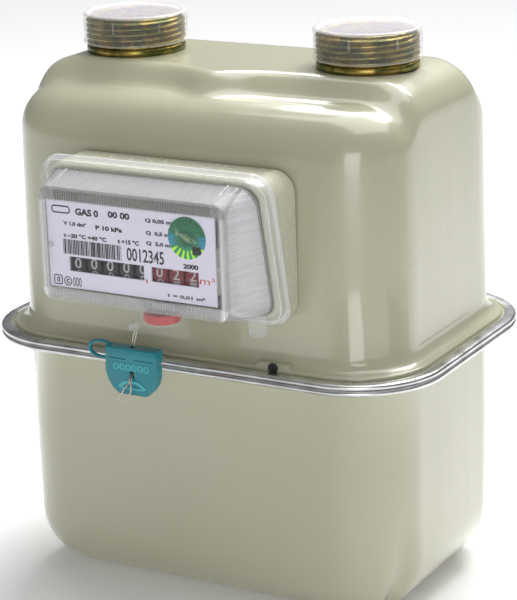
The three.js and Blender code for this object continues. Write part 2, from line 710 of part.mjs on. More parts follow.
// ---------------------------------------------------------------- seal
function sealTag() {
  const outline = [];
  const cut = Math.asin((TAG_HEIGHT - TAG_SHOULDER) / TAG_R);
  for (let k = 0; k <= 18; k++) {
    const a = -cut + ((Math.PI + 2 * cut) * k) / 18;
    const z = Math.min(TAG_R * Math.sin(a), tagTop - tagCentreZ);
    outline.push([TAG_R * Math.cos(a), z]);
  }
  const place = (solid) => solid.rotate([90, 0, 0]).translate([TAG_X, tagY, tagCentreZ]);
  const disc = place(slab(outline, -TAG_THICK / 2, TAG_THICK / 2));
  const rim = block([TAG_X - TAG_R + 1, tagY - TAG_THICK / 2 - 1, tagTop - TAG_RIM],
    [TAG_X + TAG_R - 0.2, tagY + TAG_THICK / 2 + 1, tagTop]);
  const torus = [];
  for (let k = 0; k < 8; k++) {
    const a = (Math.PI * 2 * k) / 8;
    torus.push([5 + 0.9 * Math.cos(a), 0.9 * Math.sin(a)]);
  }
  const loop = turned(torus, 'y', [0, 0, 0], 16, true)
    .scale([1.15, 1, 0.68])
    .translate([TAG_X - TAG_R - 2.4, tagY, tagTop - 2.4]);
  const half = WIRE_SLOT / 2;
  const channel = block([TAG_X - half, tagY - half, tagHoleZ - half],
    [TAG_X + half, tagY + half, tagTop + 1]);
  const mouth = block([TAG_X - half, tagY - TAG_THICK, tagHoleZ - half],
    [TAG_X + half, tagY + half, tagHoleZ + 1.6]);
  return disc.add(rim).add(loop).subtract(channel).subtract(mouth);
}

// Each strand hangs from the eye, goes down inside the tag and out at its front.
function sealWire(side, tail) {
  const x = TAG_X + side * 0.45;
  const points = [
    [x + 1.9, tagY, sleeveBottom - 1.9],
    [x + 1.3, tagY + side * 0.2, sleeveBottom - 4],
    [x + 0.4, tagY, tagTop + 1.5],
    [x, tagY, tagTop - 2],
    [x, tagY, tagHoleZ + 3],
    [x, tagY - 0.35, tagHoleZ + 1.1],
    [x, tagY - 1.6, tagHoleZ + 0.1],
    [x, tagY - 2.7, tagHoleZ - 1.2],
    [x - 0.1, tagY - 3.2, tagHoleZ - 3],
    ...tail,
  ].map((p) => new THREE.Vector3(...p));
  const path = new THREE.CatmullRomCurve3(points, false, 'centripetal');
  const section = new THREE.Shape();
  section.absarc(0, 0, WIRE_R, 0, Math.PI * 2);
  const geometry = new THREE.ExtrudeGeometry(section, {
    steps: 22, curveSegments: 4, extrudePath: path, bevelEnabled: false,
  });
  return outward(geometry);
}

// ---------------------------------------------------------------- measuring unit
function unitBody() {
  const chamber = (from, to) => rod('y', [0, 0, CHAMBER_Z], CHAMBER_R, from, to, 24);
  return block([-UNIT_HALF_X, -UNIT_HALF_Y, UNIT_BOTTOM], [UNIT_HALF_X, UNIT_HALF_Y, UNIT_TOP])
    .subtract(chamber(-UNIT_HALF_Y - 1, -CHAMBER_WALL / 2))
    .subtract(chamber(CHAMBER_WALL / 2, UNIT_HALF_Y + 1))
    .subtract(rod('z', [FLAG_X, -FLAG_Y, 0], FLAG_ROD_R + RUN, CHAMBER_Z - 14, UNIT_TOP + 1))
    .subtract(rod('z', [REAR_FLAG_X, FLAG_Y, 0], FLAG_ROD_R + RUN, CHAMBER_Z - 14, UNIT_TOP + 1))
    .subtract(block([FLAG_X - 4, -UNIT_HALF_Y + 1, CHAMBER_Z - 20], [FLAG_X + 4, -5, CHAMBER_Z + 20]))
    .subtract(block([REAR_FLAG_X - 4, 5, CHAMBER_Z - 20],
      [REAR_FLAG_X + 4, UNIT_HALF_Y - 1, CHAMBER_Z + 20]));
}

function chamberCover(side) {
  const from = UNIT_HALF_Y + DIAPHRAGM + 2 * FIT;
  const outer = CHAMBER_R + 5;
  const profile = [
    [0, from + COVER_DEPTH - CHAMBER_COVER_WALL],
    [30, from + COVER_DEPTH - CHAMBER_COVER_WALL],
    [CHAMBER_R - 3, from + 9],
    [CHAMBER_R - 1, from],
    [outer, from],
    [outer, from + CHAMBER_COVER_WALL],
    [CHAMBER_R + 0.5, from + CHAMBER_COVER_WALL],
    [CHAMBER_R - 1.5, from + 10],
    [31.5, from + COVER_DEPTH],
    [0, from + COVER_DEPTH],
  ].map(([r, h]) => [r, side * h]);
  return turned(profile, 'y', [0, 0, CHAMBER_Z], 24);
}

const diaphragm = (side) => tube('y', [0, 0, CHAMBER_Z], DISC_R + EASE, CHAMBER_R + 5,
  side < 0 ? -UNIT_HALF_Y - DIAPHRAGM - FIT : UNIT_HALF_Y + FIT,
  side < 0 ? -UNIT_HALF_Y - FIT : UNIT_HALF_Y + DIAPHRAGM + FIT, 24);

const discPlane = UNIT_HALF_Y + DIAPHRAGM / 2;

function diaphragmDisc(side) {
  const h0 = discPlane - DISC_THICK / 2;
  const profile = [[0, h0], [DISC_R, h0], [DISC_R, h0 + DISC_THICK], [0, h0 + DISC_THICK]]
    .map(([r, h]) => [r, side * h]);
  return turned(profile, 'y', [0, 0, CHAMBER_Z], 24);
}

// A flag: an upright rod with a narrow vane that reaches to the disc's middle.
function flag(x, side) {
  const y = side * FLAG_Y;
  const armLow = side < 0 ? frontLinkZ : rearLinkZ;
  const inward = -Math.sign(x);
  const vaneTip = side * (discPlane - DISC_THICK / 2 - 2.6);
  const tip = Math.abs(x) - 6;
  const vane = slab([
    [0, -1], [inward * tip, (vaneTip - y) - 0.8], [inward * tip, (vaneTip - y) + 0.8], [0, 1],
  ], CHAMBER_Z - 8, CHAMBER_Z + 8).translate([x, y, 0]);
  return rod('z', [x, y, 0], FLAG_ROD_R, CHAMBER_Z - 12, armLow + 2.2, 12).add(vane);
}

const frontArm = [FLAG_X, -FLAG_Y - ARM_REACH];
const rearArm = [REAR_FLAG_X - ARM_REACH * 0.6, FLAG_Y + ARM_REACH * 0.8];

function bar(from, to, width, z0, z1, holes) {
  const dx = to[0] - from[0];
  const dy = to[1] - from[1];
  const length = Math.hypot(dx, dy);
  const nose = (middle, start) => [0, 1, 2, 3, 4, 5, 6].map((k) => {
    const a = start + (Math.PI * k) / 6;
    return [middle + (width / 2) * Math.cos(a), (width / 2) * Math.sin(a)];
  });
  const outline = [...nose(length, -Math.PI / 2), ...nose(0, Math.PI / 2)];
  const turn = (Math.atan2(dy, dx) * 180) / Math.PI;
  return slab(outline, z0, z1, holes.map(([at, r]) => [at * length, 0, r]))
    .rotate([0, 0, turn])
    .translate([from[0], from[1], 0]);
}

// The arm sits on its rod's square end, above the link, with a pin down through the link.
function crankArm(x, side, end, linkZ) {
  const z0 = linkZ + 2 + EASE;
  return bar([x, side * FLAG_Y], end, 7, z0, z0 + 2, [])
    .subtract(rod('z', [x, side * FLAG_Y, 0], FLAG_ROD_R + FIT, z0 - 1, linkZ + 2.4))
    .add(rod('z', [end[0], end[1], 0], 1.2, linkZ, z0 + 1, 12));
}

function link(end, z) {
  const eye = [CRANK_X, CRANK_R];
  return bar(end, eye, 5, z, z + 2, [[0, 1.2 + RUN], [1, 1.2 + RUN]]);
}

function crankshaft() {
  const at = [CRANK_X, 0, 0];
  return rod('z', at, SHAFT_R, valveTop + FIT, crankDiscZ, 14)
    .add(rod('z', at, WORM_R, driveZ - WORM_LENGTH / 2, driveZ + WORM_LENGTH / 2, 14))
    .add(rod('z', at, CRANK_R + 3, crankDiscZ, crankDiscZ + 2.4, 20))
    .add(rod('z', [CRANK_X, CRANK_R, 0], 1.5, crankDiscZ + 2, crankPinTop, 12));
}

function crankBridge() {
  const plateTop = crankDiscZ - EASE;
  const plateLow = plateTop - 3;
  const foot = UNIT_TOP + FIT;
  const reach = SEAT_R + 6;
  const leg = (y, right) => block([CRANK_X - 6, y - 1.5, foot], [right, y + 1.5, plateTop])
    .subtract(block([CRANK_X - 7, y - 2, foot + 3], [CRANK_X - 1, y + 2, plateLow - 8]));
  const pad = (y) => block([CRANK_X - 6, y - 3, foot], [CRANK_X + 6, y + 3, foot + 2]);
  const bearing = block([CRANK_X, -15.5, driveZ - 5], [GEAR_X + 5, -12.5, driveZ + 5])
    .subtract(block([CRANK_X - 1, -16, driveZ - 6], [CRANK_X + 2, -12, driveZ + 6]));
  const hanger = block([GEAR_X - 5, -15.5, driveZ], [GEAR_X + 5, -12.5, plateTop]);
  const spread = block([CRANK_X - 6, -reach, plateLow], [CRANK_X + 6, reach, plateTop])
    .add(block([CRANK_X - 6, -15.5, plateLow], [GEAR_X + 5, -6, plateTop]));
  return spread
    .add(leg(-reach + 1.5, CRANK_X + 6))
    .add(leg(reach - 1.5, CRANK_X + 6))
    .add(pad(-reach + 2))
    .add(pad(reach - 2))
    .add(bearing)
    .add(hanger)
    .subtract(rod('z', [CRANK_X, 0, 0], SHAFT_R + RUN, plateLow - 1, plateTop + 1))
    .subtract(rod('y', [GEAR_X, 0, driveZ], DRIVE_R + RUN, -17, -11))
    .subtract(rod('z', [CRANK_X, 0, 0], WORM_R + RUN, driveZ - 8, plateLow - 0.5));
}

function valveSeat() {
  const ports = rod('z', [CRANK_X, 0, 0], SEAT_R, UNIT_TOP + FIT, seatTop, 28);
  let seat = ports;
  for (let k = 0; k < 4; k++) {
    const a = Math.PI * (0.25 + 0.5 * k);
    const at = [CRANK_X + 15 * Math.cos(a), 15 * Math.sin(a), 0];
    seat = seat.subtract(rod('z', at, 4.2, UNIT_TOP + 1.5, seatTop + 1, 12));
  }
  return seat.subtract(rod('z', [CRANK_X, 0, 0], 6, UNIT_TOP + 1.5, seatTop + 1, 16));
}

function rotaryValve() {
  const z0 = seatTop + EASE;
  return rod('z', [CRANK_X, 0, 0], VALVE_R, z0, valveTop, 28)
    .subtract(block([CRANK_X - 1, 8, z0 - 1], [CRANK_X + VALVE_R + 1, VALVE_R + 1, valveTop + 1]))
    .subtract(rod('z', [CRANK_X, 0, 0], 19, z0 - 1, z0 + 2.2, 20));
}

function outletDuct() {
  const foot = UNIT_TOP + FIT;
  const top = CASE_TOP + FIT - 5 - EASE;
  return tube('z', [spigotX, 0, 0], DUCT_R - DUCT_WALL, DUCT_R, foot, top - 8, 20)
    .add(turned([
      [DUCT_R - DUCT_WALL, top - 8.5],
      [DUCT_R, top - 8.5],
      [SPIGOT_BORE_R - 1, top - 2],
      [SPIGOT_BORE_R - 1, top],
      [SPIGOT_BORE_R - 1 - DUCT_WALL, top],
      [SPIGOT_BORE_R - 1 - DUCT_WALL, top - 2],
    ], 'z', [spigotX, 0, 0], 20, true));
}

function driveShaft() {
  const at = [GEAR_X, 0, driveZ];
  const nose = drumY - 5;
  return rod('y', at, DRIVE_R, nose, 4, 12);
}

// ---------------------------------------------------------------- assembly
add('upper_case', upperCase(), PAINT);
add('lower_case', lowerCase(), PAINT);
add('clamp_band', bandBody(), STEEL);
add('case_gasket', gasketBody(), RUBBER);
add('inlet_spigot', spigot(-spigotX), ZINC);
add('outlet_spigot', spigot(spigotX), ZINC);
add('inlet_cap', cap(-spigotX), MILKY);
add('outlet_cap', cap(spigotX), MILKY);
const plugZ = upperFlangeTop + 2.2;
const dropY = -(bandHalfY - BAND_LIP - 1.4);
add('flange_plug', rod('y', [43, 0, plugZ], 2.1, dropY - 1.1, dropY - 0.2, 14), BLACK);

add('index_base', indexBase(), CREAM);
add('index_cover', indexCover(), CLEAR);
add('index_plate', indexPlate(), WHITE);
add('index_chassis', indexChassis(), NATURAL_PLASTIC);
add('verification_sticker', rod('y', [STICKER_X, 0, indexLow + STICKER_LIFT], STICKER_R,
  plateFrontY - 0.25, plateFrontY - 0.05, 28), FOIL);
const shaftEnds = [cheekLeft - 1, cheekRight + 2.5];
add('drum_shaft', rod('x', [0, drumY, drumZ], DRUM_SHAFT_R, ...shaftEnds, 12), STEEL);
add('pinion_shaft', rod('x', [0, pinionY, pinionZ], DRUM_SHAFT_R, ...shaftEnds, 12), STEEL);
drumCentres.forEach((x, k) => {
  add(`number_drum_${k + 1}`, drum(x), k < WHOLE_DRUMS ? BLACK : DARK_RED);
});
for (let k = 0; k < drumCentres.length - 1; k++) {
  const x = (drumCentres[k] + drumCentres[k + 1]) / 2;
  add(`transfer_pinion_${k + 1}`, toothedWheel(x, pinionY, pinionZ, PINION_TEETH, PINION_ROOT_R,
    PINION_TIP_R, PINION_WIDTH, DRUM_SHAFT_R + RUN), NATURAL_PLASTIC);
}
add('index_drive_gear', toothedWheel(GEAR_X, drumY, drumZ, GEAR_TEETH, GEAR_ROOT_R, GEAR_TIP_R,
  GEAR_WIDTH, DRUM_SHAFT_R + RUN), NATURAL_PLASTIC);
add('cover_screw', turned([
  [0, screwSeatZ - 2.2], [3.4, screwSeatZ - 2.2], [3.4, screwSeatZ - FIT], [1.5, screwSeatZ - FIT],
  [1.5, screwSeatZ + COVER_WALL + 3.2], [0, screwSeatZ + COVER_WALL + 3.2],
], 'z', [PLUG_X, plugY, 0], 14), STEEL);
add('seal_plug', rod('z', [PLUG_X, plugY, 0], PLUG_R, sleeveBottom - 1.6,
  sleeveBottom - 1.6 + PLUG_LENGTH, 24), SEAL_RED);

add('seal_tag', sealTag(), TEAL);
add('seal_wire_left', sealWire(-1, [
  [TAG_X - 2.6, tagY - 3.4, 106], [TAG_X - 4.6, tagY - 3.3, 102.4], [TAG_X - 6.6, tagY - 3.2, 99.4],
]), BRIGHT_WIRE);
add('seal_wire_right', sealWire(1, [
  [TAG_X + 0.5, tagY - 3.4, 105.6], [TAG_X - 0.8, tagY - 3.3, 102.8], [TAG_X - 3.6, tagY - 3.2, 100.4],
]), BRIGHT_WIRE);

add('measuring_body', unitBody(), GREY_PLASTIC);
add('front_chamber_cover', chamberCover(-1), GREY_PLASTIC);
add('rear_chamber_cover', chamberCover(1), GREY_PLASTIC);
add('front_diaphragm', diaphragm(-1), CLOTH);
add('rear_diaphragm', diaphragm(1), CLOTH);
add('front_diaphragm_disc', diaphragmDisc(-1), STEEL);
add('rear_diaphragm_disc', diaphragmDisc(1), STEEL);
add('front_flag', flag(FLAG_X, -1), STEEL);
add('rear_flag', flag(REAR_FLAG_X, 1), STEEL);
add('front_crank_arm', crankArm(FLAG_X, -1, frontArm, frontLinkZ), STEEL);
add('rear_crank_arm', crankArm(REAR_FLAG_X, 1, rearArm, rearLinkZ), STEEL);
add('front_link', link(frontArm, frontLinkZ), STEEL);
add('rear_link', link(rearArm, rearLinkZ), STEEL);
add('valve_seat', valveSeat(), BLACK);
add('rotary_valve', rotaryValve(), NATURAL_PLASTIC);
add('crankshaft', crankshaft(), BRASS);
add('crank_bridge', crankBridge(), GREY_PLASTIC);
add('outlet_duct', outletDuct(), GREY_PLASTIC);
add('worm_wheel', tube('y', [GEAR_X, 0, driveZ], DRIVE_R + FIT, wheelR, -2, 2, 28), NATURAL_PLASTIC);
add('index_drive_shaft', driveShaft(), STEEL);
add('drive_bush', turned([
  [DRIVE_R + RUN, -UPPER_HALF_Y + 8], [5, -UPPER_HALF_Y + 8], [5, frontWallY - FIT - 0.3],
  [7.6, frontWallY - FIT - 0.3], [7.6, frontWallY - 2], [DRIVE_R + RUN, frontWallY - 2],
], 'y', [GEAR_X, 0, driveZ], 20, true), BRASS);

export default model;
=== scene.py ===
"""A domestic diaphragm gas meter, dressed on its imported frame: camera, light, finishes and pieces."""

import json
import logging
import math
from dataclasses import dataclass
from enum import Enum
from typing import Any, Callable

import bmesh
import bpy
from mathutils import Matrix, Vector

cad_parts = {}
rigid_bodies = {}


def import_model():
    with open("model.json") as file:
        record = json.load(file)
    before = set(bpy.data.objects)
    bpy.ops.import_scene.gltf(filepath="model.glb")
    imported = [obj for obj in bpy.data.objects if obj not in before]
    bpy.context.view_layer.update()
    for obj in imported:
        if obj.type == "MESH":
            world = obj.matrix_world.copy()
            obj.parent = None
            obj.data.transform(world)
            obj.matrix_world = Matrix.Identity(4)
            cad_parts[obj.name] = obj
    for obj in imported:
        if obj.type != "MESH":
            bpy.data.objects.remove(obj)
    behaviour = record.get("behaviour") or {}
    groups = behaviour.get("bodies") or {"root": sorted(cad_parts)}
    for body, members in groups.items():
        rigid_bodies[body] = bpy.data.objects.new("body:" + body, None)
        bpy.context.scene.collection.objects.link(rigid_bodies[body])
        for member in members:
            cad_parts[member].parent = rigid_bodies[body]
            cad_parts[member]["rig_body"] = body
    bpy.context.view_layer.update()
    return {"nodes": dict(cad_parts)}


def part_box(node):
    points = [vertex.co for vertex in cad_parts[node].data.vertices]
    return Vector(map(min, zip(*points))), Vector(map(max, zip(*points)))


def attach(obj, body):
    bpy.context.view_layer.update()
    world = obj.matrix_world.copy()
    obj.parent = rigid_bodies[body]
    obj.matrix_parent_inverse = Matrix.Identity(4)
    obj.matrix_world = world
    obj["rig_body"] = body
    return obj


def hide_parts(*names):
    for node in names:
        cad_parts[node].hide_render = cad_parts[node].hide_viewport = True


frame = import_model()

log = logging.getLogger("gas_meter")

Triple = tuple[float, float, float]
Colour = tuple[float, float, float, float]
Ring = list[Triple]

MM = 0.001
QUARTER = math.pi / 2
SMOOTH_ANGLE = math.radians(38)
DRAWN_ANGLE = math.radians(50)
WELD = 2e-6
INK_HALF = 0.02
SEAL_X = 5.0
SEAL_Y = -84.0


# ---------------------------------------------------------------- shader and geometry trees
def shade(red: int, green: int, blue: int) -> Colour:
    """Turn a swatch's screen values (0 to 255) into a linear colour.

    Args:
        red: Red of the swatch.
        green: Green of the swatch.
        blue: Blue of the swatch.

    Returns:
        The linear colour with full alpha.
    """

    def linear(value: int) -> float:
        """One channel, made linear."""
        share = value / 255
        return share / 12.92 if share <= 0.04045 else ((share + 0.055) / 1.055) ** 2.4

    return (linear(red), linear(green), linear(blue), 1.0)


class Wiring:
    """A node tree with one method that makes every node."""

    def __init__(self, tree: bpy.types.NodeTree) -> None:
        """Keep the tree that nodes are made in."""
        self.tree = tree

    def feed(self, socket: bpy.types.NodeSocket, value: Any) -> None:
        """Set a socket to a number or colour, or link something to it.

        Args:
            socket: The input to feed.
            value: A number, colour, vector, Signal, socket or node.
        """
        if isinstance(value, Signal):
            value = value.socket
        if isinstance(value, bpy.types.Node):
            value = value.outputs[0]
        if isinstance(value, bpy.types.NodeSocket):
            self.tree.links.new(value, socket)
        else:
            socket.default_value = value

    def node(
        self, kind: str, settings: dict[str, Any] | None = None, sockets: dict[Any, Any] | None = None
    ) -> bpy.types.Node:
        """Make one node, its settings first and its sockets after them.

        Args:
            kind: The node's type.
            settings: Its properties; "stops" are a ramp's (place, colour) pairs.
            sockets: Values or links, by the input's name or number.

        Returns:
            The new node.
        """
        made = self.tree.nodes.new(kind)
        for name, value in (settings or {}).items():
            if name == "stops":
                self._set_stops(made, value)
            else:
                setattr(made, name, value)
        for name, value in (sockets or {}).items():
            self.feed(made.inputs[name], value)
        return made

    @staticmethod
    def _set_stops(ramp: bpy.types.Node, stops: list[tuple[float, Colour]]) -> None:
        """Give a colour ramp its stops."""
        elements = ramp.color_ramp.elements
        while len(elements) < len(stops):
            elements.new(1.0)
        for element, (place, colour) in zip(elements, stops):
            element.position = place
            element.color = colour


class Signal:
    """A shader value that takes part in Python arithmetic."""

    def __init__(self, wiring: Wiring, socket: bpy.types.NodeSocket) -> None:
        """Keep the socket and the tree it belongs to."""
        self.wiring = wiring
        self.socket = socket

    def _math(self, operation: str, *terms: Any, clamp: bool = False) -> "Signal":
        """Add one Math node over some terms."""
        made = self.wiring.node(
            "ShaderNodeMath", {"operation": operation, "use_clamp": clamp}, dict(enumerate(terms))
        )
        return Signal(self.wiring, made.outputs[0])

    def __add__(self, other: Any) -> "Signal":
        """Sum."""
        return self._math("ADD", self, other)

    def __radd__(self, other: Any) -> "Signal":
        """Sum, the number first."""
        return self._math("ADD", other, self)

    def __sub__(self, other: Any) -> "Signal":
        """Difference."""
        return self._math("SUBTRACT", self, other)

    def __rsub__(self, other: Any) -> "Signal":
        """Difference, the number first."""
        return self._math("SUBTRACT", other, self)

    def __mul__(self, other: Any) -> "Signal":
        """Product."""
        return self._math("MULTIPLY", self, other)

    def __rmul__(self, other: Any) -> "Signal":
        """Product, the number first."""
        return self._math("MULTIPLY", other, self)

    def __truediv__(self, other: Any) -> "Signal":
        """Quotient."""
        return self._math("DIVIDE", self, other)

    def __rtruediv__(self, other: Any) -> "Signal":
        """Quotient, the number first."""
        return self._math("DIVIDE", other, self)

    def __pow__(self, other: Any) -> "Signal":
        """Power."""
        return self._math("POWER", self, other)

    def __abs__(self) -> "Signal":
        """Size without sign."""
        return self._math("ABSOLUTE", self)

    def wave(self) -> "Signal":
        """Sine of the value in radians, brought between 0 and 1."""
        return 0.5 + 0.5 * self._math("SINE", self)

    def angle_to(self, across: "Signal") -> "Signal":
        """Angle of the point (across, self) round the origin."""
        return self._math("ARCTAN2", self, across)

    def limited(self) -> "Signal":
        """The value held between 0 and 1."""
        return self._math("ADD", self, 0.0, clamp=True)

    def rise(self, low: float, high: float) -> "Signal":
        """A soft step from 0 at low to 1 at high.

        Args:
            low: Where the step starts.
            high: Where it ends.

        Returns:
            The step.
        """
        made = self.wiring.node(
            "ShaderNodeMapRange",
            {"interpolation_type": "SMOOTHSTEP"},
            {"Value": self, "From Min": low, "From Max": high},
        )
        return Signal(self.wiring, made.outputs["Result"])

    def within(self, low: float, high: float, soft: float) -> "Signal":
        """1 between two values and 0 outside them, with soft edges.

        Args:
            low: The lower edge.
            high: The upper edge.
            soft: Half the width of each edge.

        Returns:
            The mask.
        """
        return self.rise(low - soft, low + soft) * (1 - self.rise(high - soft, high + soft))


class Finish(Wiring):
    """The node tree of one material, with the maker's usual moves."""

    def __init__(self, name: str) -> None:
        """Start an empty material.

        Args:
            name: The material's name.
        """
        self.material = bpy.data.materials.new(name)
        self.material.use_nodes = True
        super().__init__(self.material.node_tree)
        self.tree.nodes.clear()
        coordinates = self.node("ShaderNodeTexCoord")
        scaled = self.node(
            "ShaderNodeVectorMath",
            {"operation": "SCALE"},
            {0: coordinates.outputs["Object"], "Scale": 1 / MM},
        )
        self.place = scaled.outputs[0]
        parts = self.node("ShaderNodeSeparateXYZ", sockets={0: self.place})
        self.x, self.y, self.z = (Signal(self, socket) for socket in parts.outputs)

    def stretched(self, scale: Triple, shift: Triple = (0.0, 0.0, 0.0)) -> bpy.types.NodeSocket:
        """Millimetre coordinates scaled for each axis.

        Args:
            scale: How often a pattern repeats along each axis, per millimetre.
            shift: How far the pattern is moved first.

        Returns:
            The vector's socket.
        """
        mapping = self.node("ShaderNodeMapping", sockets={0: self.place, "Location": shift, "Scale": scale})
        return mapping.outputs[0]

    def noise(
        self, scale: Triple, detail: float = 2.0, roughness: float = 0.5, shift: float = 0.0
    ) -> Signal:
        """Cloudy variation between 0 and 1.

        Args:
            scale: Repeats per millimetre along each axis.
            detail: How many finer layers are added.
            roughness: How strong those layers are.
            shift: Moves the pattern, so that two noises differ.

        Returns:
            The value.
        """
        made = self.node(
            "ShaderNodeTexNoise",
            sockets={
                "Vector": self.stretched(scale, (shift, shift, shift)),
                "Scale": 1.0,
                "Detail": detail,
                "Roughness": roughness,
            },
        )
        return Signal(self, made.outputs[0])

    def tint(self, share: Any, first: Any, second: Any) -> bpy.types.NodeSocket:
        """Mix two colours.

        Args:
            share: How much of the second shows, from 0 to 1.
            first: A colour or a socket.
            second: A colour or a socket.

        Returns:
            The mixed colour's socket.
        """
        made = self.node(
            "ShaderNodeMix",
            {"data_type": "RGBA", "clamp_factor": True},
            {0: share, 6: first, 7: second},
        )
        return made.outputs[2]

    def relief(self, height: Any, depth: float) -> bpy.types.NodeSocket:
        """Bump of a real depth.

        Args:
            height: A value from 0 to 1.
            depth: The depth at 1, in millimetres.

        Returns:
            The bumped normal's socket.
        """
        sockets = {"Height": height, "Distance": depth * MM, "Strength": 1.0}
        return self.node("ShaderNodeBump", sockets=sockets).outputs[0]

    def facing(self, blend: float) -> Signal:
        """How far the surface turns away from the eye, 1 along its outline.

        Args:
            blend: How far the rise reaches in from the outline, from 0 to 1.

        Returns:
            The value.
        """
        made = self.node("ShaderNodeLayerWeight", sockets={"Blend": blend})
        return Signal(self, made.outputs["Facing"])

    def surface(self, **sockets: Any) -> bpy.types.Material:
        """Close the material with its shader.

        Args:
            **sockets: The shader's sockets, underscores for spaces.

        Returns:
            The finished material.
        """
        named = {name.replace("_", " "): value for name, value in sockets.items()}
        shader = self.node("ShaderNodeBsdfPrincipled", sockets=named)
        self.node("ShaderNodeOutputMaterial", sockets={"Surface": shader})
        return self.material


@dataclass(frozen=True)
class CasePaint:
    """Glossy stoved enamel on pressed steel."""

    face: Colour = shade(184, 183, 158)
    thin: Colour = shade(178, 177, 151)

    def make(self) -> bpy.types.Material:
        """Build the enamel, with the faint swell of the pressed sheet."""
        tree = Finish("case_enamel")
        cloud = tree.noise((0.02, 0.02, 0.02), 3.0)
        swell = tree.noise((0.055, 0.055, 0.005), 1.5, shift=7.0)
        colour = tree.tint(cloud, self.thin, self.face)
        normal = tree.relief(swell, 0.5)
        return tree.surface(
            Base_Color=colour,
            Roughness=0.26 + 0.04 * cloud,
            Specular_IOR_Level=0.5,
            Coat_Weight=0.8,
            Coat_Roughness=0.08,
            Normal=normal,
        )


@dataclass(frozen=True)
class Metal:
    """A bare or plated metal with fine working marks."""

    name: str
    light: Colour
    dark: Colour
    roughness: float
    marks: Triple = (0.6, 0.6, 3.0)
    depth: float = 0.008

    def make(self) -> bpy.types.Material:
        """Build the metal with streaks of tone and fine scratches."""
        tree = Finish(self.name)
        streak = tree.noise(self.marks, 3.0, 0.6)
        patch = tree.noise((0.12, 0.12, 0.12), 2.0, shift=5.0)
        colour = tree.tint((streak * 0.6 + patch * 0.5).rise(0.3, 0.8), self.dark, self.light)
        return tree.surface(
            Base_Color=colour,
            Metallic=1.0,
            Roughness=self.roughness + 0.16 * (patch - 0.5),
            Normal=tree.relief(streak, self.depth),
        )


@dataclass(frozen=True)
class ZincThread:
    """Yellow passivated zinc, green and rosy where the film thickens."""

    gold: Colour = shade(160, 138, 72)
    green: Colour = shade(92, 98, 48)
    rose: Colour = shade(136, 90, 56)
    roughness: float = 0.3

    def make(self) -> bpy.types.Material:
        """Build the plating with its drifting colours."""
        tree = Finish("passivated_zinc")
        drift = tree.noise((0.14, 0.14, 0.2), 2.0)
        other = tree.noise((0.2, 0.2, 0.1), 2.0, shift=11.0)
        fine = tree.noise((0.5, 0.5, 3.0), 2.0, shift=2.0)
        colour = tree.tint(drift.rise(0.42, 0.62), self.gold, self.green)
        colour = tree.tint(other.rise(0.58, 0.75) * 0.7, colour, self.rose)
        return tree.surface(
            Base_Color=colour,
            Metallic=0.9,
            Roughness=self.roughness + 0.2 * (fine - 0.5),
            Normal=tree.relief(fine, 0.01),
        )


@dataclass(frozen=True)
class Moulding:
    """An opaque moulded plastic or rubber."""

    name: str
    face: Colour
    deep: Colour
    roughness: float = 0.4
    grain: float = 1.2
    depth: float = 0.01
    coat: float = 0.0
    subsurface: float = 0.0

    def make(self) -> bpy.types.Material:
        """Build the plastic with its faint grain and uneven tone."""
        tree = Finish(self.name)
        cloud = tree.noise((0.06, 0.06, 0.06), 3.0)
        grain = tree.noise((self.grain, self.grain, self.grain), 2.0, shift=4.0)
        return tree.surface(
            Base_Color=tree.tint(cloud, self.deep, self.face),
            Roughness=self.roughness + 0.12 * (grain - 0.5),
            Coat_Weight=self.coat,
            Coat_Roughness=0.1,
            Subsurface_Weight=self.subsurface,
            Subsurface_Radius=(0.002, 0.002, 0.0018),
            Normal=tree.relief(grain, self.depth),
        )


@dataclass(frozen=True)
class MilkyCap:
    """Thin polythene of the transit caps, clearest where it is seen straight through."""

    milk: Colour = shade(232, 230, 220)
    bloom: Colour = shade(214, 208, 222)
    skirt_height: float = 226.6
    crown_height: float = 238.6

    def make(self) -> bpy.types.Material:
        """Build the polythene, hazier on the crown than on the skirt."""
        tree = Finish("milky_polythene")
        crown = tree.z.rise(self.crown_height - 0.6, self.crown_height + 0.1)
        foot = 1 - tree.z.rise(self.skirt_height + 0.2, self.skirt_height + 0.9)
        haze = tree.noise((0.25, 0.25, 0.15), 3.0)
        edge = tree.facing(0.35)
        cover = 0.03 + 0.3 * edge * edge + 0.07 * haze + 0.4 * crown + 0.2 * foot
        return tree.surface(
            Base_Color=tree.tint(crown * haze.rise(0.35, 0.6), self.milk, self.bloom),
            Roughness=0.22 + 0.1 * haze,
            Alpha=cover.limited(),
            Specular_IOR_Level=0.6,
            Normal=tree.relief(haze, 0.08),
        )


